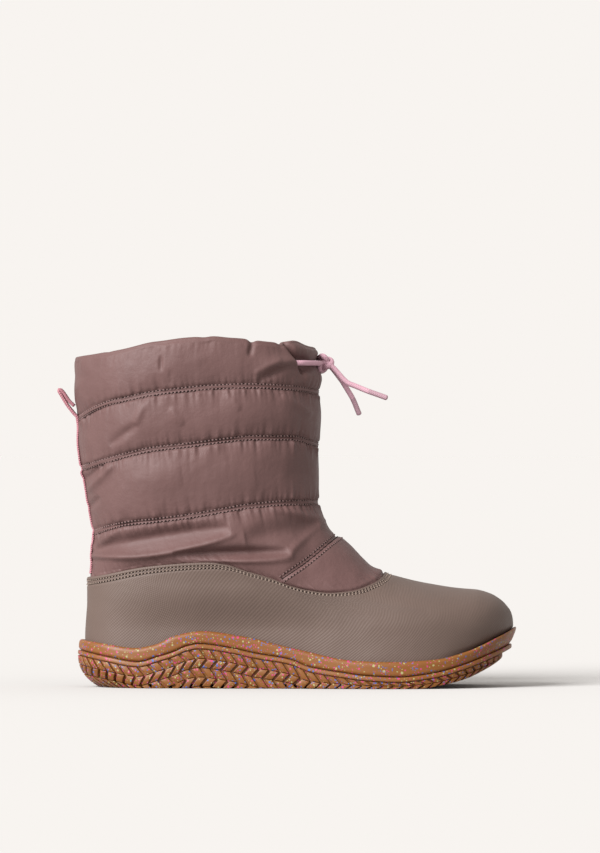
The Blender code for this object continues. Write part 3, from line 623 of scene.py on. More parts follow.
front_ends = {
    "rand_middle": front_index(0.9441, 0.253),
    "rand_top": front_index(0.6968, 0.319),
    "seam_low": front_index(0.5450, 0.530),
    "seam_middle": front_index(0.5468, 0.693),
    "seam_high": front_index(0.5468, 0.842),
    "collar": front_index(0.5340, 0.963),
}


def feather_height(x):
    """Lower edge of the upper, just above the cup's plate."""
    return cup_floor(x) + feather_gap


def loop_line(name, steps):
    """Side view line of a loop, from the back line to the front line, as shares of its own X reach."""
    shares = 0.5 - 0.5 * np.cos(np.linspace(0.0, math.pi, steps))
    if name == "feather":
        back_x = heel_back + upper_inset
        front_x = toe_tip - upper_inset
        for _ in range(6):
            front_x = toe_tip - upper_inset - toe_lean(feather_height(front_x))
        x = back_x + shares * (front_x - back_x)
        return np.column_stack([x, feather_height(x)])
    rows = seam_tables[name]
    back_point = back_line[nearest_on(back_line, rows[0][1] * boot_height)]
    front_point = front_line[front_ends[name]]
    x = back_point[0] + shares * (front_point[0] - back_point[0])
    z = smooth_curve(rows, shares) * boot_height
    z += (back_point[1] - z[0]) * (1.0 - shares) ** 6 + (front_point[1] - z[-1]) * shares ** 6
    return np.column_stack([x, z])


def between_lines(low_name, high_name, share, steps):
    """Side view line of a ring between two loops, with its ends on the upper's outline."""
    low = loop_line(low_name, steps)
    high = loop_line(high_name, steps)
    blend = low + (high - low) * share
    ends = []
    for line, column in ((back_line, 0), (front_line, -1)):
        piece = line[nearest_to(line, low[column]): nearest_to(line, high[column]) + 1]
        length = run_lengths(piece)
        ends.append(interpolate(share * length[-1], length, piece)[0])
    weight = 0.5 - 0.5 * np.cos(np.linspace(0.0, math.pi, steps))
    blend = blend + (ends[0] - blend[0]) * ((1.0 - weight) ** 2)[:, None]
    return blend + (ends[1] - blend[-1]) * (weight ** 2)[:, None]


def srgb(*display):
    """Linear colour from display values between 0 and 255."""
    shares = [value / 255.0 for value in display]
    return tuple(share / 12.92 if share <= 0.04045 else ((share + 0.055) / 1.055) ** 2.4 for share in shares)


def node(tree, kind, **settings):
    """Node with its settings; a name that starts with in_ sets an input."""
    made = tree.nodes.new(kind)
    for name, value in settings.items():
        if name.startswith("in_"):
            made.inputs[name[3:].replace("_", " ")].default_value = value
        else:
            setattr(made, name, value)
    return made


def new_material(name, colour, roughness, specular=0.5):
    """Principled material; returns it with its tree and shader."""
    material = bpy.data.materials.new(name)
    material.use_nodes = True
    tree = material.node_tree
    shader = tree.nodes["Principled BSDF"]
    shader.inputs["Base Color"].default_value = (*colour, 1.0)
    shader.inputs["Roughness"].default_value = roughness
    shader.inputs["Specular IOR Level"].default_value = specular
    return material, tree, shader


def math_node(tree, operation, first, second=None):
    """Math node on sockets or numbers; returns its output."""
    made = tree.nodes.new("ShaderNodeMath")
    made.operation = operation
    for index, value in enumerate((first, second)):
        if value is None:
            continue
        if isinstance(value, (int, float)):
            made.inputs[index].default_value = value
        else:
            tree.links.new(value, made.inputs[index])
    return made.outputs[0]


def blend_colours(tree, factor, first, second):
    """Mix of two colours, each a socket or three numbers; returns the output."""
    made = tree.nodes.new("ShaderNodeMix")
    made.data_type = "RGBA"
    tree.links.new(factor, made.inputs["Factor"])
    for slot, value in ((6, first), (7, second)):
        if isinstance(value, tuple):
            made.inputs[slot].default_value = (*value, 1.0)
        else:
            tree.links.new(value, made.inputs[slot])
    return made.outputs[2]


def noise_output(tree, coordinates, scale, detail=3.0, roughness=0.5):
    """Value of a noise texture."""
    made = node(tree, "ShaderNodeTexNoise", in_Scale=scale, in_Detail=detail, in_Roughness=roughness)
    tree.links.new(coordinates, made.inputs["Vector"])
    return made.outputs[0]


def bump(tree, height, distance, strength=1.0, below=None):
    """Bump node; returns its normal."""
    made = node(tree, "ShaderNodeBump", in_Strength=strength, in_Distance=distance)
    tree.links.new(height, made.inputs["Height"])
    if below is not None:
        tree.links.new(below, made.inputs["Normal"])
    return made.outputs[0]


def coordinates(tree, kind="Object"):
    """Texture coordinates of one kind."""
    return tree.nodes.new("ShaderNodeTexCoord").outputs[kind]


def connect(tree, shader, **outputs):
    """Link outputs to the shader's inputs; underscores in their names stand for spaces."""
    for name, output in outputs.items():
        tree.links.new(output, shader.inputs[name.replace("_", " ")])


def scaled(tree, value, factor, offset):
    """A socket times a factor, plus an offset."""
    return math_node(tree, "ADD", math_node(tree, "MULTIPLY", value, factor), offset)


def tinted(colour, factor):
    """A colour made darker or lighter."""
    return tuple(factor * value for value in colour)


def two_tones(tree, factor, colour, dark, light):
    """A colour that varies between a darker and a lighter shade of itself."""
    return blend_colours(tree, factor, tinted(colour, dark), tinted(colour, light))


def waves(tree, value, length):
    """Sine waves of a given length along a socket."""
    return math_node(tree, "SINE", math_node(tree, "MULTIPLY", value, 2.0 * math.pi / length))


def split_uv(tree):
    """The two lengths of the piece's own UV layer."""
    split = tree.nodes.new("ShaderNodeSeparateXYZ")
    tree.links.new(coordinates(tree, "UV"), split.inputs[0])
    return split.outputs[0], split.outputs[1]


def weave_height(tree, pitch_along, pitch_up):
    """Staggered dots of a plain weave in the piece's own UV lengths."""
    along_uv, up_uv = split_uv(tree)
    return math_node(tree, "MULTIPLY", waves(tree, along_uv, pitch_along), waves(tree, up_uv, pitch_up))


def nylon_material():
    """Satin nylon: even mauve with faint shifts, a fine crumple and a finer weave."""
    material, tree, shader = new_material("quilted nylon", nylon_colour, 0.55, 0.24)
    place = coordinates(tree)
    crumple = bump(tree, noise_output(tree, place, 170.0, 4.0, 0.55), 0.0012, 0.4)
    connect(
        tree, shader,
        Base_Color=two_tones(tree, noise_output(tree, place, 38.0), nylon_colour, 0.88, 1.12),
        Roughness=scaled(tree, noise_output(tree, place, 260.0, 2.0), 0.16, 0.47),
        Normal=bump(tree, weave_height(tree, nylon_weave, nylon_weave), 0.00004, 0.5, crumple))
    return material


def textile_material():
    """Coated textile of the rand with its dotted weave."""
    material, tree, shader = new_material("coated textile", rand_colour, 0.6, 0.35)
    place = coordinates(tree)
    dots = weave_height(tree, rand_weave, rand_weave)
    base = two_tones(tree, scaled(tree, dots, 0.16, 0.5), rand_colour, 0.80, 1.18)
    drift = math_node(tree, "MULTIPLY", noise_output(tree, place, 45.0), 0.35)
    fine = bump(tree, dots, 0.00008, 0.7)
    connect(
        tree, shader,
        Base_Color=blend_colours(tree, drift, base, tinted(rand_colour, 0.75)),
        Normal=bump(tree, noise_output(tree, place, 150.0), 0.0006, 0.3, fine))
    return material


def fleck_colours(tree, choice):
    """One of the three fleck colours, chosen by a random socket."""
    kinds = tree.nodes.new("ShaderNodeValToRGB")
    ramp = kinds.color_ramp
    ramp.interpolation = "CONSTANT"
    ramp.elements[0].color = (*fleck_pink, 1.0)
    ramp.elements[1].position = fleck_shares[0]
    ramp.elements[1].color = (*fleck_blue, 1.0)
    ramp.elements.new(fleck_shares[1]).color = (*fleck_pale, 1.0)
    tree.links.new(choice, kinds.inputs[0])
    return kinds.outputs[0]


def gum_material():
    """Gum rubber with dense flecks of three colours and a fine skin."""
    material, tree, shader = new_material("speckled gum rubber", gum_colour, 0.5, 0.3)
    place = coordinates(tree)
    colour = two_tones(tree, noise_output(tree, place, 60.0, 4.0), gum_colour, 0.86, 1.14)
    for scale, size in fleck_kinds:
        wobble = node(tree, "ShaderNodeTexNoise", in_Scale=700.0, in_Detail=2.0)
        tree.links.new(place, wobble.inputs["Vector"])
        warp = node(tree, "ShaderNodeVectorMath", operation="MULTIPLY_ADD")
        tree.links.new(wobble.outputs["Color"], warp.inputs[0])
        warp.inputs[1].default_value = (0.0009, 0.0009, 0.0009)
        tree.links.new(place, warp.inputs[2])
        cells = node(tree, "ShaderNodeTexVoronoi", in_Scale=scale)
        tree.links.new(warp.outputs[0], cells.inputs["Vector"])
        split = tree.nodes.new("ShaderNodeSeparateColor")
        tree.links.new(cells.outputs["Color"], split.inputs[0])
        radius = math_node(tree, "MULTIPLY", split.outputs[1], size)
        mask = math_node(tree, "LESS_THAN", cells.outputs["Distance"], radius)
        cover = math_node(tree, "MULTIPLY", mask, 0.85)
        colour = blend_colours(tree, cover, colour, fleck_colours(tree, split.outputs[0]))
    connect(
        tree, shader,
        Base_Color=colour,
        Roughness=scaled(tree, noise_output(tree, place, 300.0, 2.0), 0.2, 0.38),
        Normal=bump(tree, noise_output(tree, place, 900.0), 0.00012, 0.35))
    return material


def fleece_material():
    """Short-pile lining and footbed cover."""
    material, tree, shader = new_material("fleece", fleece_colour, 0.95, 0.2)
    pile = noise_output(tree, coordinates(tree), 900.0, 4.0, 0.7)
    connect(
        tree, shader,
        Base_Color=two_tones(tree, pile, fleece_colour, 0.65, 1.25), Normal=bump(tree, pile, 0.0012, 0.8))
    shader.inputs["Sheen Weight"].default_value = 0.5
    return material


def thread_material(name, colour):
    """Sewing thread with a twist."""
    material, tree, shader = new_material(name, colour, 0.6, 0.35)
    twist = noise_output(tree, coordinates(tree), 2600.0, 1.0)
    connect(
        tree, shader,
        Base_Color=two_tones(tree, twist, colour, 0.75, 1.2), Normal=bump(tree, twist, 0.00015, 0.6))
    return material


def webbing_material():
    """Ribbed grosgrain webbing."""
    material, tree, shader = new_material("pink webbing", webbing_colour, 0.75, 0.25)
    ribs = weave_height(tree, *webbing_weave)
    connect(
        tree, shader,
        Base_Color=two_tones(tree, scaled(tree, ribs, 0.35, 0.5), webbing_colour, 0.72, 1.2),
        Normal=bump(tree, ribs, 0.00022, 0.9))
    return material


def cord_material(name, colour):
    """Braided elastic cord: two sets of waves that wind around it in opposite ways."""
    material, tree, shader = new_material(name, colour, 0.65, 0.3)
    along_uv, around_uv = split_uv(tree)
    along_cord = math_node(tree, "MULTIPLY", along_uv, 2.0 * math.pi / braid_pitch)
    around_cord = math_node(tree, "MULTIPLY", around_uv, 2.0 * math.pi * braid_strands)
    turns = [math_node(tree, way, along_cord, around_cord) for way in ("ADD", "SUBTRACT")]
    braid = math_node(tree, "MAXIMUM", *(math_node(tree, "SINE", turn) for turn in turns))
    connect(
        tree, shader,
        Base_Color=two_tones(tree, scaled(tree, braid, 0.14, 0.5), colour, 0.72, 1.12),
        Normal=bump(tree, braid, 0.00010, 0.6))
    return material


def stitch_shade_material():
    """Painted shade where the thread dives into the cloth between stitches, and along the vamp's seam line.
    """
    material, tree, shader = new_material("painted stitch shade", srgb(26, 18, 17), 0.9, 0.1)
    shift = noise_output(tree, coordinates(tree), 800.0, 1.0)
    connect(tree, shader, Base_Color=blend_colours(tree, shift, srgb(20, 14, 13), srgb(32, 23, 22)))
    return material


nylon_colour = srgb(83, 60, 58)
rand_colour = srgb(81, 66, 59)
gum_colour = srgb(101, 60, 19)
fleck_pink = srgb(152, 40, 92)
fleck_blue = srgb(44, 78, 142)
fleck_pale = srgb(132, 132, 88)
fleece_colour = srgb(101, 85, 83)
webbing_colour = srgb(160, 108, 116)
cord_colour = srgb(172, 134, 146)
cord_tip_colour = srgb(148, 118, 127)
thread_colour = srgb(94, 72, 70)
pale_thread_colour = srgb(114, 99, 89)
# Flecks: scale and size of three sets, and where pink gives way to blue and blue to the pale ones
fleck_kinds = ((440.0, 0.31), (650.0, 0.34), (880.0, 0.37))
fleck_shares = (0.46, 0.74)
# Pitch of the weaves, and of the cord's braid and its strands around
nylon_weave = 0.00062
rand_weave = 0.0015
webbing_weave = (0.0014, 0.0011)
braid_pitch = 0.0010
braid_strands = 4.0


def placed(name, mesh):
    """Object of a mesh, riding on the root body."""
    mesh.update()
    thing = bpy.data.objects.new(name, mesh)
    bpy.context.scene.collection.objects.link(thing)
    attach(thing, "root")
    return thing


def grid_lengths(grid, axis):
    """Length up a grid's columns (axis 0) or around its rings (axis 1) at each of its points."""
    steps = np.linalg.norm(np.diff(grid, axis=axis), axis=2)
    start = np.zeros_like(np.take(steps, [0], axis=axis))
    return np.concatenate([start, np.cumsum(steps, axis=axis)], axis=axis)


def grid_object(name, grid, materials, face_rows=None, even=False, row_lengths=None):
    """Smooth mesh over closed rings of points, with UV lengths in metres around and up the rings.

    With row lengths, as on a cord, U is the length along it and V the share of the way around."""
    rows, columns = grid.shape[:2]
    row = np.repeat(np.arange(rows - 1), columns)
    column = np.tile(np.arange(columns), rows - 1)
    after = (column + 1) % columns
    quads = np.column_stack([row * columns + column, row * columns + after,
                             (row + 1) * columns + after, (row + 1) * columns + column])
    mesh = bpy.data.meshes.new(name)
    mesh.from_pydata(grid.reshape(-1, 3).tolist(), [], quads.tolist())
    for material in materials:
        mesh.materials.append(material)
    if face_rows is not None:
        mesh.polygons.foreach_set("material_index", np.asarray(face_rows)[row].astype(np.int32))
    wide = np.concatenate([grid, grid[:, :1]], axis=1)
    u, v = grid_lengths(wide, 1), grid_lengths(wide, 0)
    if even:
        u[:] = np.linspace(0.0, u[rows // 4, -1], columns + 1)
    if row_lengths is not None:
        u[:] = np.asarray(row_lengths)[:, None]
        v[:] = np.linspace(0.0, 1.0, columns + 1)
    corners = [np.column_stack([u[row + rise, column + step], v[row + rise, column + step]])
               for rise, step in ((0, 0), (0, 1), (1, 1), (1, 0))]
    layer = mesh.uv_layers.new(name="UVMap")
    layer.data.foreach_set("uv", np.stack(corners, axis=1).reshape(-1).astype(np.float32))
    mesh.shade_smooth()
    return placed(name, mesh)


def shells_object(name, vertices, faces, kinds, materials, smooth_angle=60.0):
    """Mesh of closed shells, with the material index of each face."""
    mesh = bpy.data.meshes.new(name)
    mesh.from_pydata(np.asarray(vertices).tolist(), [], faces)
    for material in materials:
        mesh.materials.append(material)
    mesh.polygons.foreach_set("material_index", np.asarray(kinds, dtype=np.int32))
    mesh.shade_smooth()
    mesh.set_sharp_from_angle(angle=math.radians(smooth_angle))
    return placed(name, mesh)


def smooth_path(points, steps):
    """Points of a smooth curve through the given ones."""
    points = np.array(points, dtype=float)
    fine = np.linspace(0.0, len(points) - 1.0, steps)
    tangents = np.gradient(points, axis=0)
    span = np.clip(fine.astype(int), 0, len(points) - 2)
    return hermite(points[span], points[span + 1], tangents[span], tangents[span + 1], (fine - span)[:, None])


def tube_object(name, path, radius, material, sides=14):
    """Round mesh tube along a dense path, with rounded ends and UV lengths."""
    path = np.asarray(path)
    tangent = unit(np.gradient(path, axis=0))
    sideways = np.zeros_like(path)
    normal = np.cross(tangent[0], (0.0, 0.0, 1.0))
    if np.linalg.norm(normal) < 0.2:
        normal = np.cross(tangent[0], (0.0, 1.0, 0.0))
    for index in range(len(path)):
        normal = unit(normal - tangent[index] * np.dot(normal, tangent[index]))
        sideways[index] = normal
    other = np.cross(tangent, sideways)
    angle = np.linspace(0.0, 2.0 * math.pi, sides, endpoint=False)[None, :, None]
    around = sideways[:, None, :] * np.cos(angle) + other[:, None, :] * np.sin(angle)
    rings = path[:, None, :] + radius * around
    caps = []
    for end, direction in ((0, -1.0), (-1, 1.0)):
        bulge = tangent[end] * radius * direction * cord_end_bulge
        cap = [path[end] + (rings[end] - path[end]) * math.cos(turn) + bulge * math.sin(turn)
               for turn in (0.5, 0.95, 1.35)]
        caps.append(np.array(cap + [np.repeat((path[end] + bulge)[None, :], sides, axis=0)]))
    lengths = run_lengths(path)
    lengths = np.r_[[lengths[0]] * len(caps[0]), lengths, [lengths[-1]] * len(caps[1])]
    grid = np.concatenate([caps[0][::-1], rings, caps[1]])
    return grid_object(name, grid, [material], row_lengths=lengths)


def spread_ring(line, per_side):
    """Ring on the bare upper from its side view line, evenly spaced along each side."""
    centre, half = section(line[:, 0], line[:, 1])
    half[0] = 0.0
    half[-1] = 0.0
    ring = []
    for side, sign in enumerate((-1.0, 1.0)):
        points = np.column_stack([line[:, 0], centre + sign * half, line[:, 1]])
        length = run_lengths(points)
        places = np.linspace(0.0, length[-1], per_side + 1)
        if side == 1:
            places = places[-2:0:-1]
        ring.append(interpolate(places, length, points))
    return np.vstack(ring)


def dense_ends(count):
    """Shares from 0 to 1 that lie closer together near both ends."""
    share = np.linspace(0.0, 1.0, count + 1)
    return share - 0.095 * np.sin(2.0 * math.pi * share)


def fine_grid(stretches, per_side):
    """Rings of the bare upper with, for each ring, its stretch, its share of it and its fullness."""
    rings = [spread_ring(loop_line("feather", line_steps), per_side)]
    notes = [(0, 0.0, 0.0)]
    seams = {}
    below = "feather"
    for stretch, (name, count, fullness) in enumerate(stretches):
        for share in dense_ends(count)[1:]:
            whole = share > 0.9999
            line = loop_line(name, line_steps) if whole else between_lines(below, name, share, line_steps)
            rings.append(spread_ring(line, per_side))
            notes.append((stretch, float(share), fullness * max(math.sin(math.pi * share), 0.0) ** 0.6))
        seams[name] = len(rings) - 1
        below = name
    return np.array(rings), np.array(notes), seams


def grid_normals(grid):
    """Outward normals of a grid of rings."""
    around = np.roll(grid, -1, axis=1) - np.roll(grid, 1, axis=1)
    return unit(np.cross(around, np.gradient(grid, axis=0)))


def line_reach(x, z, rows):
    """Distance in side view from a line of shares, and the share along it of the nearest place."""
    points = side_view(rows)
    if len(points) > 2:
        points = smooth_path(points, 4 * len(points))
    nearest = np.full(x.shape, np.inf)
    share = np.zeros(x.shape)
    lengths = run_lengths(points)
    for start, end, done in zip(points[:-1], points[1:], lengths[:-1]):
        step = end - start
        size = float(np.dot(step, step)) + 1e-18
        t = np.clip(((x - start[0]) * step[0] + (z - start[1]) * step[1]) / size, 0.0, 1.0)
        away = np.hypot(x - start[0] - t * step[0], z - start[1] - t * step[1])
        closer = away < nearest
        nearest = np.where(closer, away, nearest)
        share = np.where(closer, (done + t * math.sqrt(size)) / lengths[-1], share)
    return nearest, share


def fold_depth(x, z, rows):
    """Sum of soft troughs (negative) and ridges along lines in side view."""
    total = np.zeros(x.shape)
    for depth, half_width, line in rows:
        pad = 3.0 * half_width
        low = side_view(line).min(axis=0) - pad
        high = side_view(line).max(axis=0) + pad
        inside = (x > low[0]) & (x < high[0]) & (z > low[1]) & (z < high[1])
        if not inside.any():
            continue
        away, share = line_reach(x[inside], z[inside], line)
        taper = np.clip(4.0 * share * (1.0 - share), 0.0, 1.0) ** 0.5
        total[inside] += depth * taper * ridge(away, 0.0, half_width * (0.55 + 0.45 * taper))
    return total


def pucker_profile(length_around, generator, pitch, width):
    """Random ridges and troughs around a ring, from its lengths."""
    total = length_around[-1] + length_around[1]
    profile = np.zeros(len(length_around))
    place = 0.0
    while place < total:
        place += pitch * generator.uniform(0.55, 1.5)
        size = generator.uniform(0.35, 1.0) * generator.choice((-1.0, -1.0, 1.0))
        span = width * generator.uniform(0.7, 1.35)
        away = np.abs(length_around - place)
        away = np.minimum(away, total - away)
        profile += size * ridge(away, 0.0, span)
    return profile


def rough_noise(points, scale, seed):
    """Smooth noise at points, about -1 to 1."""
    shift = Vector((seed * 3.7, seed * 1.9, -seed * 2.3))
    flat = points.reshape(-1, 3)
    values = [noise.noise(Vector(point) * scale + shift) for point in flat.tolist()]
    return np.array(values).reshape(points.shape[:2])


def puff_lift(share_along, fullness):
    """Padding between the seams, flatter at the front and under the strap at the back."""
    front = smoothstep(0.46, 0.53, share_along)
    back = smoothstep(0.12, 0.03, share_along)
    return puff_depth * fullness * (1.0 - 0.7 * front - 0.95 * back)


def panel_lift(x, z, notes):
    """Step and channel of the diagonal seam at the back of the vamp panel."""
    share_along = along(x)
    seam_height = np.interp(share_along, *np.array(panel_seam_rows).T) * boot_height
    low_stretch = (notes[:, 0] == panel_stretch)[:, None]
    ahead = smoothstep(-0.0008, 0.0010, seam_height - z) * (share_along > panel_seam_rows[0][0])
    edge_fade = smoothstep(0.0, 0.06, notes[:, 1])[:, None] * smoothstep(1.0, 0.9, notes[:, 1])[:, None]
    away, share = line_reach(x, z, panel_seam_rows)
    on_seam = (share > 0.01) & (share < 0.99) & low_stretch
    return panel_step * ahead * low_stretch * edge_fade - 0.0008 * ridge(away, 0.0, 0.0014) * on_seam


def seam_lift(bare, seams):
    """Random puckers beside the seams, and the flat strip with two thread channels on each of them."""
    generator = random.Random(11)
    height_along = grid_lengths(bare, 0)
    lift = np.zeros(height_along.shape)
    for name, below_size, above_size in pucker_rows:
        ring = seams[name]
        length_around = run_lengths(bare[ring])
        away = height_along - height_along[ring]
        for sign, size in ((-1.0, below_size), (1.0, above_size)):
            reach = away * sign
            near = smoothstep(0.0006, 0.0022, reach)
            for pitch, width, height, length in pucker_kinds:
                wave = pucker_profile(length_around, generator, pitch, width)
                lift += size * height * wave * near * np.exp(-(np.maximum(reach, 0.0) / length) ** 1.5)
        if name in stitched_seams:
            flat = ridge(np.maximum(np.abs(away) - 0.0019, 0.0), 0.0, 0.0006)
            channels = ridge(np.abs(away), seam_row_offset, 0.0004)
            lift += flat * (-0.00045 * channels + 0.00025 * ridge(away, 0.0, 0.0007) - 0.0002)
    return lift


def collar_lift(x, z):
    """Front of the collar with the cord's pocket, tunnels, tab and bulge, and its rise at the back."""
    height = z / boot_height
    mouth_x = heel_back + tunnel_mouth_share * outsole_length
    cord_z = knot_height_share * boot_height
    edge = mouth_x + (cord_z - z) * collar_edge_lean
    in_collar = smoothstep(0.885, 0.905, height)
    open_front = smoothstep(edge - 0.0003, edge + 0.0009, x) * in_collar
    pocket = smoothstep(edge + 0.0085, edge + 0.0035, x)
    tunnel = smoothstep(edge + 0.0009, edge - 0.0004, x) * smoothstep(mouth_x - 0.024, mouth_x - 0.005, x)
    return (
        -(pocket_depth * pocket + flap_depth * (1.0 - pocket)) * open_front * ridge(z, cord_z, 0.0036)
        - edge_depth * ridge(x - edge, 0.0008, 0.0008) * in_collar
        + tunnel_rise * ridge(z, cord_z, 0.0034) * tunnel
        + tab_rise * ridge(z, 0.9560 * boot_height, 0.0034) * smoothstep(edge + 0.001, edge + 0.003, x)
        - rim_fall * smoothstep(0.958, 0.988, height) * smoothstep(edge + 0.003, edge + 0.012, x)
        + bulge_rise * ridge(z, 0.883 * boot_height, 0.0045) * smoothstep(mouth_x + 0.001, mouth_x + 0.006, x)
        + strap_rise * smoothstep(0.05, 0.01, along(x)) * smoothstep(0.88, 0.93, height))


def upper_surface():
    """Bare grid of the upper with normals, ring notes and seam rings, and its displaced outside."""
    bare, notes, seams = fine_grid(upper_stretches, upper_columns)
    normals = grid_normals(bare)
    x = bare[:, :, 0]
    z = bare[:, :, 2]
    outer_side = np.arange(bare.shape[1])[None, :] <= upper_columns
    fullness = notes[:, 2][:, None]
    lift = puff_lift(along(x), fullness) + panel_lift(x, z, notes) + seam_lift(bare, seams)
    folds = np.where(outer_side, fold_depth(x, z, outer_folds), fold_depth(x, z, inner_folds))
    lift += folds * smoothstep(0.30, 0.36, z / boot_height)
    crumple = 0.00075 * rough_noise(bare, 42.0, 1) + 0.00022 * rough_noise(bare, 120.0, 2)
    lift += smoothstep(0.05, 0.25, fullness) * crumple + collar_lift(x, z)
    surface = bare + normals * lift[:, :, None]
    top = smoothstep(0.925, 0.975, z / boot_height)
    for place, deep, half_width in rim_notches:
        dip = deep * ridge(x - heel_back, place * outsole_length, half_width)
        surface[:, :, 2] -= np.where(outer_side, dip, 0.0) * top
    surface[:, :, 2] += 0.0006 * rough_noise(bare[-1:], 75.0, 9) * top
    return bare, normals, notes, seams, surface


def row_on_surface(surface, ring, offset):
    """Closed line of points at an offset along the columns from a ring, with outward normals."""
    low = max(0, ring - 30)
    stacks = surface[low: ring + 31]
    both = np.concatenate([stacks, grid_normals(surface)[low: ring + 31]], axis=2)
    line = []
    for column in range(surface.shape[1]):
        lengths = run_lengths(stacks[:, column])
        line.append(interpolate(lengths[ring - low] + offset, lengths, both[:, column])[0])
    line = np.array(line)
    return line[:, :3], unit(line[:, 3:])


def spaced(points, outward, pitch, closed=True):
    """Places, directions and normals evenly spaced along a line."""
    if closed:
        points = np.vstack([points, points[:1]])
        outward = np.vstack([outward, outward[:1]])
    lengths = run_lengths(points)
    count = max(2, int(lengths[-1] / pitch))
    at = (np.arange(count) + 0.5) * lengths[-1] / count
    normal = unit(interpolate(at, lengths, outward))
    ahead = interpolate(at + 0.0004, lengths, points)
    behind = interpolate(at - 0.0004, lengths, points)
    return interpolate(at, lengths, points), unit(ahead - behind), normal


def capsule_shells(place, direction, normal, length, radius, tilt=0.0, sides=6):
    """Vertices and faces of short rounded threads, their ends sunk into the cloth."""
    side = unit(np.cross(normal, direction))
    turned = unit(direction * math.cos(tilt) + side * math.sin(tilt))
    side = unit(np.cross(normal, turned))
    vertices = []
    for share, thick, rise in thread_stops:
        middle = place + turned * share * length + normal * rise * radius
        for step in range(sides):
            angle = 2.0 * math.pi * step / sides
            around = side * math.cos(angle) + normal * math.sin(angle)
            vertices.append(middle + around * thick * radius)
    size = len(thread_stops) * sides
    faces = []
    for base in range(0, len(place) * size, size):
        faces += band_faces(base, sides, len(thread_stops) - 1, True)
        faces.append(tuple(base + step for step in range(sides)))
        faces.append(tuple(base + size - 1 - step for step in range(sides)))
    return np.stack(vertices, axis=1).reshape(-1, 3), faces


def disc_shells(place, direction, normal, width, height, lift=0.00008, sides=8):
    """Vertices and faces of small flat ovals that lie on the cloth."""
    side = unit(np.cross(normal, direction))
    vertices = []
    for step in range(sides):
        angle = 2.0 * math.pi * step / sides
        rim = direction * math.cos(angle) * width * 0.5 + side * math.sin(angle) * height * 0.5
        vertices.append(place + normal * lift + rim)
    faces = [tuple(base + step for step in range(sides)) for base in range(0, len(place) * sides, sides)]
    return np.stack(vertices, axis=1).reshape(-1, 3), faces


def join_shells(parts):
    """One list of vertices and faces from several, with the material index of each face."""
    vertices = []
    faces = []
    kinds = []
    start = 0
    for (points, part_faces), kind in parts:
        vertices.append(points)
        faces += [tuple(index + start for index in face) for face in part_faces]
        kinds += [kind] * len(part_faces)
        start += len(points)
    return np.vstack(vertices), faces, kinds


def stitch_line(points, outward, size, tilt, closed=True):
    """Threads along a line, with dark ovals of painted shade between them, as shells with their material
    index.
    """
    length, radius = size
    place, direction, normal = spaced(points, outward, stitch_pitch, closed)
    threads = capsule_shells(place, direction, normal, length, radius, tilt)
    # Dark ovals between the threads are painted shade where the thread dives into the cloth
    between = place + direction * 0.5 * stitch_pitch
    shade_ovals = disc_shells(between, direction, normal, stitch_pitch - length + 0.0006, 2.6 * radius)
    return [(threads, 0), (shade_ovals, 1)]


def sewn_object(name, parts, materials):
    """Piece with all threads of some lines and the painted shade between them."""
    thing = shells_object(name, *join_shells(parts), materials)


def turned_edge(outside, away, thickness, rise, turns):
    """Rings that round off the upper edge of a wall, from its outside inward."""
    middle = outside - away * 0.5 * thickness
    up = np.array([0.0, 0.0, 1.0])
    return np.array([middle + away * 0.5 * thickness * math.cos(turn) + up * rise * thickness * math.sin(turn)
                     for turn in turns])


def make_upper(surface, bare, normals, seams):
    """Upper with its rolled rim and fleece lining, as two pieces that meet at the middle seam."""
    rim = turned_edge(surface[-1], normals[-1], upper_wall, 0.42, np.linspace(0.0, math.pi, 9)[1:-1])
    kept = np.unique(np.linspace(0, len(bare) - 1, lining_rings).astype(int))[::-1]
    inner = bare - normals * upper_wall
    inner[0, :, 2] = bare[0, :, 2]
    lining = inner[kept]
    lining[0] = surface[-1] - normals[-1] * upper_wall
    split = seams["seam_middle"]
    high = surface[split:]
    grid = np.concatenate([high, rim, lining])
    rows = np.zeros(len(grid) - 1, dtype=int)
    rows[len(high) + len(rim) + 1:] = 1
    nylon = nylon_material()
    grid_object("upper_shell", grid, [nylon, fleece_material()], face_rows=rows)
    low = np.concatenate([inner[:1], surface[: split + 1]])
    grid_object("upper_shell_low", low, [nylon])
    for name in ("upper_shell", "upper_shell_low"):
        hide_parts("upper")


def make_rand():
    """Coated textile shell over the lower upper, with a turned edge and two stitch channels.

    Returns its outside."""
    bare, _, seams = fine_grid(rand_stretches, rand_columns)
    normals = grid_normals(bare)
    tuck = band_top(bare[0, :, 0]) - rand_tuck
    lower = slice(0, seams["rand_middle"] + 1)
    order = np.arange(seams["rand_middle"] + 1.0)
    for column in range(bare.shape[1]):
        first = np.interp(tuck[column], bare[lower, column, 2], order)
        places = np.linspace(first, order[-1], len(order))
        for grid in (bare, normals):
            grid[lower, column] = interpolate(places, order, grid[lower, column])
    height_along = grid_lengths(bare, 0)
    below_edge = height_along[-1] - height_along
    lift = np.full(below_edge.shape, gap + rand_thickness)
    for offset in rand_row_offsets:
        lift -= 0.00035 * ridge(below_edge, offset, 0.0005)
    lift += 0.00025 * ridge(below_edge, 0.0006, 0.0006)
    lift += 0.00022 * rough_noise(bare, 70.0, 5) * smoothstep(0.003, 0.006, below_edge)
    above_band = bare[:, :, 2] - band_top(bare[:, :, 0])
    fade = smoothstep(0.020, 0.008, above_band) * smoothstep(0.0004, 0.0024, above_band)
    lift += 0.0014 * toe_weight(bare[:, :, 0]) * fade
    outer = bare + normals * lift[:, :, None]
    rolled = turned_edge(outer[-1], normals[-1], rand_thickness, 0.45, (0.5, 1.1, 1.57, 2.1, 2.7))
    inner = bare + normals * gap
    grid = np.concatenate([outer, rolled, inner[::-1], outer[:1]])
    thing = grid_object("rand_shell", grid, [textile_material()], even=True)
    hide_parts("rand")
    return outer


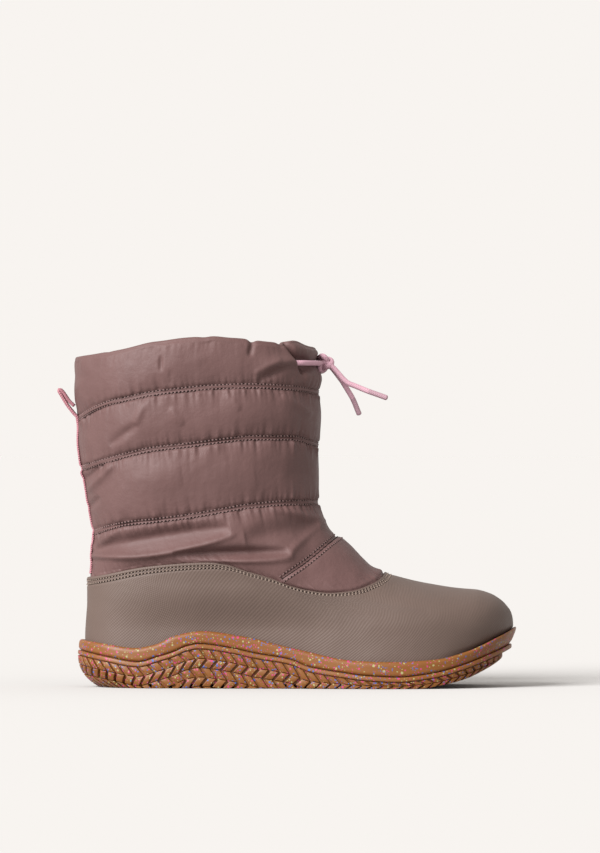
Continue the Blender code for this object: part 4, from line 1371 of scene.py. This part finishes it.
def make_midsole():
    """Cup with its rounded satin band."""
    under = outsole_rim + gap
    plate_shift = toe_lean(cup_floor(toe_tip - upper_inset))
    rings, add = ring_stack(midsole_columns)
    add(under, toe_overhang, lambda x: tray_floor(x) + gap)
    add(under, toe_overhang, lambda x: groove_line(x) + gap)
    add(0.0014, toe_overhang, lambda x: groove_line(x) + gap)
    add(0.0009, toe_overhang, lambda x: groove_line(x) + gap + 0.0003)
    add(0.0005, toe_overhang * 0.95, lambda x: groove_line(x) + gap + 0.0009)
    for share in (0.15, 0.3, 0.45, 0.6, 0.75, 0.9):
        add(0.0004 + 0.0001 * share, toe_overhang * (0.9 - 0.65 * share), lambda x: groove_line(x) + band_edge
            + share * (band_top(x) - band_round - groove_line(x) - band_edge))
    for turn in (0.15, 0.45, 0.75, 1.05, 1.35, 1.57):
        inset = 0.0005 + 0.0016 * (1.0 - math.cos(turn))
        shift = toe_overhang * 0.25 * (1.0 - turn / 1.57) - band_lean * turn / 1.57
        add(inset, shift, lambda x: band_top(x) - band_round + band_round * math.sin(turn))
    add(cup_inset, 0.0, lambda x: band_top(x) - 0.0002)
    add(cup_inset, plate_shift, cup_floor)
    thing = shells_object("midsole_cup", *join_shells([(stacked_rings(rings), 0)]), [gum_material()], 40.0)
    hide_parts("midsole")


def edge_loop():
    """The sole's edge as one closed loop from the heel along the outer side: lengths, points, outward."""
    (outer, outer_away), (inner, inner_away) = plan_sides
    points = np.vstack([outer, inner[-2:0:-1], outer[:1]])
    away = np.vstack([outer_away, inner_away[-2:0:-1], outer_away[:1]])
    lengths = run_lengths(points)
    return lengths, points, away


edge_lengths, edge_points, edge_away = edge_loop()
edge_total = edge_lengths[-1]
lug_count = 2 * round(edge_total / rib_pitch / 2.0)
lug_pitch = edge_total / lug_count


def side_points(place, drop, out):
    """Points on the outsole's side: place along its edge, drop below the flange, and out from the valley."""
    place = np.asarray(place) % edge_total
    drop = np.asarray(drop)
    flat = interpolate(place, edge_lengths, edge_points)
    away = unit(interpolate(place, edge_lengths, edge_away))
    room = np.maximum(flange_line(flat[:, 0]) - tread_line(flat[:, 0]), 0.0006)
    share = np.clip(drop / room, 0.0, 1.0)
    inset = 0.2 * outsole_rim * share + lug_relief - out
    moved = flat - away * inset[:, None]
    lean = 0.36 * heel_setback * share ** 2.5
    moved[:, 0] += lean * heel_weight(moved[:, 0]) - toe_overhang * (1.0 + share) * toe_weight(moved[:, 0])
    top = flange_line(moved[:, 0])
    return np.column_stack([moved, top - share * (top - tread_line(moved[:, 0]))])


def side_room(place):
    """Height of the outsole's side below the flange at places along its edge."""
    x = np.interp(np.asarray(place) % edge_total, edge_lengths, edge_points[:, 0])
    return np.maximum(flange_line(x) - tread_line(x), 0.0)


def side_lugs():
    """Separate slanted lugs in rows under the flange, clipped at the tread."""
    vertices = []
    faces = []
    shares = (0.0, 0.5, 1.0)
    levels = ((-0.0003, 1.04), (0.6 * lug_relief, 1.0), (0.93 * lug_relief, 0.93), (1.04 * lug_relief, 0.80))
    rooms = side_room((np.arange(lug_count) + 0.5) * lug_pitch)
    for row in range(5):
        slant_top, slant_bottom = (0.0, lug_slant) if row % 2 == 0 else (lug_slant, 0.0)
        for item, room in enumerate(rooms):
            row_height = min(rib_row_height, 0.5 * room)
            top = 0.0003 + row * row_height
            bottom = top + row_height - min(lug_row_gap, 0.25 * row_height)
            if room - top < 0.0007:
                continue
            start = item * lug_pitch
            halfway = (start + 0.5 * lug_slant, 0.5 * (top + bottom))
            outline = [(start + slant_top + share * lug_width, top) for share in shares]
            outline.append((halfway[0] + lug_width, halfway[1]))
            outline += [(start + slant_bottom + share * lug_width, bottom) for share in shares[::-1]]
            outline.append(halfway)
            outline = np.array(outline)
            outline[:, 1] = np.minimum(outline[:, 1], side_room(outline[:, 0]) - 0.0001)
            middle = outline.mean(axis=0)
            base = len(vertices)
            size = len(outline)
            for out, shrink in levels:
                ring = middle + (outline - middle) * shrink
                vertices += side_points(ring[:, 0], ring[:, 1], out).tolist()
            vertices += side_points(middle[:1], middle[1:], 1.07 * lug_relief).tolist()
            faces += band_faces(base, size, len(levels) - 1, True)
            last = base + (len(levels) - 1) * size
            faces += [(last + step, last + size, last + (step + 1) % size) for step in range(size)]
    return np.array(vertices), faces


def tread_blocks():
    """Edge lugs and V-shaped bars under the sole."""
    vertices = []
    faces = []
    inner_edge = 0.75 * outsole_rim + edge_lug_width
    top_rise = tread_depth + 0.0006

    def add_block(outline):
        """Bevelled block between the plate and the tread line, from its outline seen from above."""
        outline = np.array(outline)
        middle = outline.mean(axis=0)
        base = len(vertices)
        size = len(outline)
        for rise, shrink in ((top_rise, 1.0), (0.0005, 1.0), (0.0, 0.93)):
            for x, y in middle + (outline - middle) * shrink:
                vertices.append((x, y, float(tread_line(x)) + rise))
        faces.extend(band_faces(base, size, 2))
        faces.append(tuple(base + 2 * size + step for step in range(size)))

    for item in range(lug_count):
        start = item * lug_pitch + 0.0006
        places = np.array([start, start + lug_width])
        near = side_points(places, np.full(2, 1.0), 0.0)[:, :2]
        far = near - unit(interpolate(places % edge_total, edge_lengths, edge_away)) * edge_lug_width
        add_block([near[0], near[1], far[1], far[0]])
    half = 0.5 * tread_bar_width
    last = toe_tip - 2.0 * toe_overhang - inner_edge - 0.3 * tread_bar_spacing
    for bar in range(int(last / tread_bar_spacing) + 1):
        middle = bar * tread_bar_spacing
        behind = middle - 0.2 * ball_width
        reach = min(abs(np.interp(behind, points[:, 0], points[:, 1])) for points, _ in plan_sides)
        reach = reach - inner_edge - 0.0025
        swept = 0.45 * reach
        for side in (-1.0, 1.0):
            inner_y = 0.0008 * side
            outer_y = reach * side
            add_block([(middle - half, inner_y), (middle + half, inner_y),
                       (middle + half - swept, outer_y), (middle - half - swept, outer_y)])
    return np.array(vertices), faces


def make_outsole():
    """Tray with rounded flange and smooth valley side, lugs on the side, edge lugs and bars below."""
    rings, add = ring_stack(outsole_columns)
    add(outsole_rim, toe_overhang, tray_floor)
    add(outsole_rim, toe_overhang, lambda x: groove_line(x) - 0.0002)
    add(outsole_rim - 0.0002, toe_overhang, groove_line)
    add(0.0006, toe_overhang, groove_line)
    add(0.0002, toe_overhang, lambda x: groove_line(x) - 0.0003)
    add(0.0, toe_overhang, lambda x: groove_line(x) - 0.0008)
    add(0.0, toe_overhang, lambda x: flange_line(x) + 0.0005)
    add(0.0003, toe_overhang, lambda x: flange_line(x) + 0.0001)
    add(lug_relief, toe_overhang, lambda x: flange_line(x) - 0.0001)
    heel_shift = 0.36 * heel_setback
    for share in (0.1, 0.25, 0.4, 0.55, 0.7, 0.82, 0.92, 1.0):
        add(0.2 * outsole_rim * share + lug_relief, toe_overhang * (1.0 + share), lambda x: flange_line(x)
            - share * np.maximum(flange_line(x) - tread_line(x) - 0.8 * tread_depth, 0.0003),
            heel_shift * share ** 2.5)
    add(0.75 * outsole_rim + lug_relief + 0.002, 2.0 * toe_overhang,
        lambda x: np.minimum(tread_line(x) + tread_depth, flange_line(x) - 0.0004), heel_shift)
    shells = [(stacked_rings(rings, True), 0), (side_lugs(), 0), (tread_blocks(), 0)]
    thing = shells_object("outsole_body", *join_shells(shells), [gum_material()], 32.0)
    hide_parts("outsole")


def make_insole():
    """Fleece covered footbed."""
    inset = upper_inset + upper_wall + insole_clearance
    shift = toe_lean(cup_floor(toe_tip - upper_inset))
    rings, add = ring_stack(insole_columns)
    for extra, rise in ((0.0, 0.0), (0.0, 0.7), (0.0004, 0.88), (0.0012, 1.0), (0.006, 0.97), (0.012, 0.93)):
        add(inset + extra, shift, lambda x: cup_floor(x) + 2.0 * gap + rise * insole_thickness)
    thing = shells_object("footbed", *join_shells([(stacked_rings(rings), 0)]), [fleece_material()])
    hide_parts("insole")


def make_pull_loop(surface, seams):
    """Grosgrain strip up the back seam that stands off as a loop at the top."""
    stacks = surface[seams["rand_top"]: seams["seam_high"] + 1]
    back = stacks[:, 0][:, [0, 2]]
    rising = back[np.argsort(back[:, 1])]
    heights = np.linspace(back[0, 1] + 2.0 * rand_thickness, back[-1, 1], 40)
    stand_off = 0.45 * (gap + 0.5 * webbing_thickness)
    strip = np.column_stack([np.interp(heights, rising[:, 1], rising[:, 0]) - stand_off, heights])
    leave = strip[-1]
    loop = leave + np.array(loop_rows) * (-loop_width, loop_rise)
    path = np.vstack([strip[:-6], smooth_path(np.vstack([strip[[-6, -1]], loop]), 60)])
    lengths = run_lengths(path)
    fine = np.linspace(0.0, lengths[-1], 220)
    path = interpolate(fine, lengths, path)
    tangent = unit(np.gradient(path, axis=0))
    sideways = np.column_stack([-tangent[:, 1], tangent[:, 0]])
    outline = np.array([(-depth, y) for depth, y in webbing_section] + list(webbing_section[::-1]))
    outline = outline * (0.5 * webbing_thickness, 0.5 * webbing_width)
    sewn = smoothstep(leave[1] + 0.002, leave[1] - 0.008, path[:, 1])
    ribs = (1.0 + 0.10 * np.sin(2.0 * math.pi * fine / webbing_weave[1])) * (1.0 - 0.4 * sewn)
    rings = []
    for middle, side, share, rib in zip(path, sideways, sewn, ribs):
        level = stacks[nearest_on(back, middle[1])]
        near = np.vstack([level[-9:], level[:9]])
        depth, y = outline.T
        wrap = (np.interp(-y, -near[:, 1], near[:, 0]) - level[0, 0]) * share
        x, z = middle[:, None] - side[:, None] * depth * rib
        rings.append(np.column_stack([x + wrap, y, z]))
    caps = [np.repeat(rings[end].mean(axis=0)[None, :], len(outline), axis=0) for end in (0, -1)]
    thing = grid_object("pull_strap", np.array([caps[0], *rings, caps[1]]), [webbing_material()])
    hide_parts("pull_loop")


def cord_bar(bare, normals, notes):
    """Centreline of the cord across the front of the collar, from the outer to the inner tunnel mouth."""
    height = knot_height_share * boot_height
    plain = bare + normals * puff_lift(along(bare[:, :, 0]), notes[:, 2][:, None])[:, :, None]
    columns = plain[-50:].swapaxes(0, 1)
    level = np.array([interpolate(height, stack[:, 2], stack[:, :2])[0] for stack in columns])
    path = level[level[:, 0] > heel_back + tunnel_mouth_share * outsole_length]
    tangent = unit(np.gradient(path, axis=0))
    away = np.column_stack([tangent[:, 1], -tangent[:, 0]])
    path = path + away * (0.5 * cord_diameter + 2.0 * gap)
    return np.column_stack([path, np.full(len(path), height)])


def knot_line(centre):
    """Closed trefoil, tilted forward, that the knot's cord follows."""
    turn = np.linspace(0.0, 2.0 * math.pi, 160)
    ahead = (np.sin(turn) + 2.0 * np.sin(2.0 * turn)) / 3.0 * 0.50 * (knot_width - 0.6 * cord_diameter)
    above = (np.cos(turn) - 2.0 * np.cos(2.0 * turn)) / 3.0 * 0.56 * (knot_height - cord_diameter)
    aside = -np.sin(3.0 * turn) * 0.32 * (knot_width - cord_diameter)
    cosine, sine = math.cos(knot_tilt), math.sin(knot_tilt)
    return centre + np.column_stack([
        ahead * cosine - above * sine - knot_shift, aside, ahead * sine + above * cosine])


def cord_line(half, side, centre, rows):
    """Where a cord leaves its tunnel, and points of its centreline from inside the wall to its tip."""
    step_in = unit(half[0] - half[1])
    inward = np.array([-step_in[1] * side, step_in[0] * side, 0.0])
    from_mouth = np.linalg.norm(half - half[0], axis=1)
    half = (half + inward * (0.0019 * smoothstep(0.0045, 0.0, from_mouth))[:, None])[::3]
    first_step = unit(half[0] - half[1])
    inward = unit(np.array([-first_step[1] * side, first_step[0] * side, 0.0]))
    hidden = [half[0] + first_step * back + inward * deep for back, deep in hidden_cord]
    inside = [centre + np.array([-0.0012, 0.0009 * side, 0.0008])]
    points = np.vstack([hidden, half[1:], inside, centre + np.array(rows)])
    lengths = run_lengths(points)
    return half[0], interpolate(np.linspace(0.0, lengths[-1], 24), lengths, points)


def make_cords(bar):
    """Two cords from the tunnel mouths through the knot to their tips, and the knot around them."""
    front_x = bar[:, 0].max() + 0.5 * cord_diameter + gap
    centre = np.array([front_x + 0.5 * knot_depth, 0.0, knot_height_share * boot_height])
    material = cord_material("braided cord", cord_colour)
    tip_material = cord_material("cord tip", cord_tip_colour)
    knot = tube_object("cord_knot", knot_line(centre), 0.56 * cord_diameter, material)
    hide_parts("drawcord_knot")
    halves = (("cord_long", "drawcord_end_long", -1.0, bar[bar[:, 1] < -0.0012]),
              ("cord_short", "drawcord_end_short", 1.0, bar[bar[:, 1] > 0.0012][::-1]))
    for name, end, side, half in halves:
        mouth, knots = cord_line(half, side, centre, cord_end_rows[end])
        dense = smooth_path(knots, 240)
        piece = tube_object(name, dense, 0.5 * cord_diameter, material, cord_sides)
        piece.data.materials.append(tip_material)
        total = len(piece.data.polygons)
        kinds = np.zeros(total, dtype=np.int32)
        kinds[int(total * tip_starts):] = 1
        piece.data.polygons.foreach_set("material_index", kinds)
        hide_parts(end, "drawcord_bar")


def vamp_line(tree, moved, ahead):
    """Points and normals on the upper along a side view line of both sides, joined across the front."""
    inward = Vector((0.0, 1.0, 0.0))
    beyond = Vector((moved[-1, 0], 0.0, moved[-1, 1])) + ahead * 0.03
    rays = [(Vector((x, -0.1, z)), inward) for x, z in moved]
    rays += [(beyond + Vector((0.0, y, 0.0)), -ahead) for y in np.linspace(-vamp_front, vamp_front, 29)]
    rays += [(Vector((x, 0.1, z)), -inward) for x, z in moved[::-1]]
    hits = []
    for start, direction in rays:
        hit, normal, _, _ = tree.ray_cast(start, direction)
        from_front = abs(direction.x) > 0.1
        if hit is not None and (from_front or hit.y * start.y > 0.0 and abs(hit.y) > vamp_front + 0.0005):
            hits.append((*hit, *normal))
    hits = np.array(hits)
    return hits[:, :3], unit(hits[:, 3:])


def make_stitches(surface, seams, rand_outer):
    """Threads with painted stitch shade of the three channel seams, the rand and the vamp panel, and a dark
    tube of painted shade along its seam.
    """
    thread = thread_material("mauve thread", thread_colour)
    pale = thread_material("pale thread", pale_thread_colour)
    stitch_shade = stitch_shade_material()
    parts = []
    for name in stitched_seams:
        for offset, tilt in ((-seam_row_offset, 0.30), (seam_row_offset, -0.30)):
            parts += stitch_line(*row_on_surface(surface, seams[name], offset), seam_thread, tilt)
    sewn_object("seam_threads", parts, [thread, stitch_shade])

    parts = []
    for offset in rand_row_offsets:
        parts += stitch_line(*row_on_surface(rand_outer, len(rand_outer) - 1, -offset), rand_thread, 0.2)
    sewn_object("rand_threads", parts, [pale, stitch_shade])

    tree = BVHTree.FromObject(bpy.data.objects["upper_shell_low"], bpy.context.evaluated_depsgraph_get())
    line = smooth_path(side_view(panel_seam_rows), 40)
    across = unit(np.column_stack([-np.gradient(line[:, 1]), np.gradient(line[:, 0])]))
    ahead = Vector((line[-1, 0] - line[-2, 0], 0.0, line[-1, 1] - line[-2, 1])).normalized()
    points, outward = vamp_line(tree, line, ahead)
    lengths = run_lengths(points)
    knots = interpolate(np.linspace(0.0, lengths[-1], 60), lengths, points - 0.0001 * outward)
    # Dark tube along the vamp's seam line: painted shade in the seam's crease
    seam = tube_object("vamp_seam_shade", smooth_path(knots, 240), vamp_shade_radius, stitch_shade, 6)
    parts = []
    for offset in (-vamp_row_offset, vamp_row_offset):
        parts += stitch_line(*vamp_line(tree, line + across * offset, ahead), vamp_thread, 0.0, False)
    sewn_object("vamp_threads", parts, [thread, stitch_shade])


def make_stage():
    """Pale floor and soft light from the upper left and front."""
    mesh = bpy.data.meshes.new("floor")
    corners = [(floor_reach * x, floor_reach * y, 0.0) for x, y in ((-1, -1), (1, -1), (1, 1), (-1, 1))]
    mesh.from_pydata(corners, [], [(0, 1, 2, 3)])
    floor = bpy.data.objects.new("floor", mesh)
    bpy.context.scene.collection.objects.link(floor)
    mesh.materials.append(new_material("pale floor", floor_colour, 1.0, 0.0)[0])

    world = bpy.data.worlds.new("studio")
    bpy.context.scene.world = world
    world.use_nodes = True
    background = world.node_tree.nodes["Background"]
    background.inputs["Color"].default_value = (*world_colour, 1.0)
    background.inputs["Strength"].default_value = world_strength

    light = bpy.data.lights.new("key", "SUN")
    light.energy = key_strength
    light.angle = math.radians(key_degrees)
    lamp = bpy.data.objects.new("key", light)
    lamp.rotation_euler = Vector(key_direction).to_track_quat("-Z", "Y").to_euler()
    bpy.context.scene.collection.objects.link(lamp)


def make_camera():
    """Level camera that looks at the outer side."""
    data = bpy.data.cameras.new("camera")
    data.sensor_width = sensor_width
    data.lens = sensor_width * camera_distance / picture_width
    data.clip_end = 100.0
    camera = bpy.data.objects.new("camera", data)
    camera.location = (camera_x, -camera_distance, camera_height)
    camera.rotation_euler = (math.radians(90.0), 0.0, 0.0)
    bpy.context.scene.collection.objects.link(camera)
    bpy.context.scene.camera = camera


# The camera looks along Y; the picture's width is measured in the plane of the boot's middle
sensor_width = 36.0
picture_width = 0.4265
camera_distance = 4.0
camera_x = 0.083
camera_height = 0.1300
floor_reach = 30.0
world_strength = 1.0
key_strength = 8.0
key_degrees = 36.0
key_direction = (0.67, 0.66, -0.55)
world_colour = srgb(248, 244, 240)
# The floor's colour that shows the world's colour in this light
floor_light = key_strength * -key_direction[2] / math.hypot(*key_direction) / math.pi
floor_colour = tuple(value / (value + floor_light) for value in world_colour)

make_camera()
bare, normals, notes, seams, surface = upper_surface()
make_cords(cord_bar(bare, normals, notes))
make_upper(surface, bare, normals, seams)
rand_outer = make_rand()
make_midsole()
make_outsole()
make_insole()
make_pull_loop(surface, seams)
make_stitches(surface, seams, rand_outer)
make_stage()
bpy.context.scene.view_settings.view_transform = "Standard"
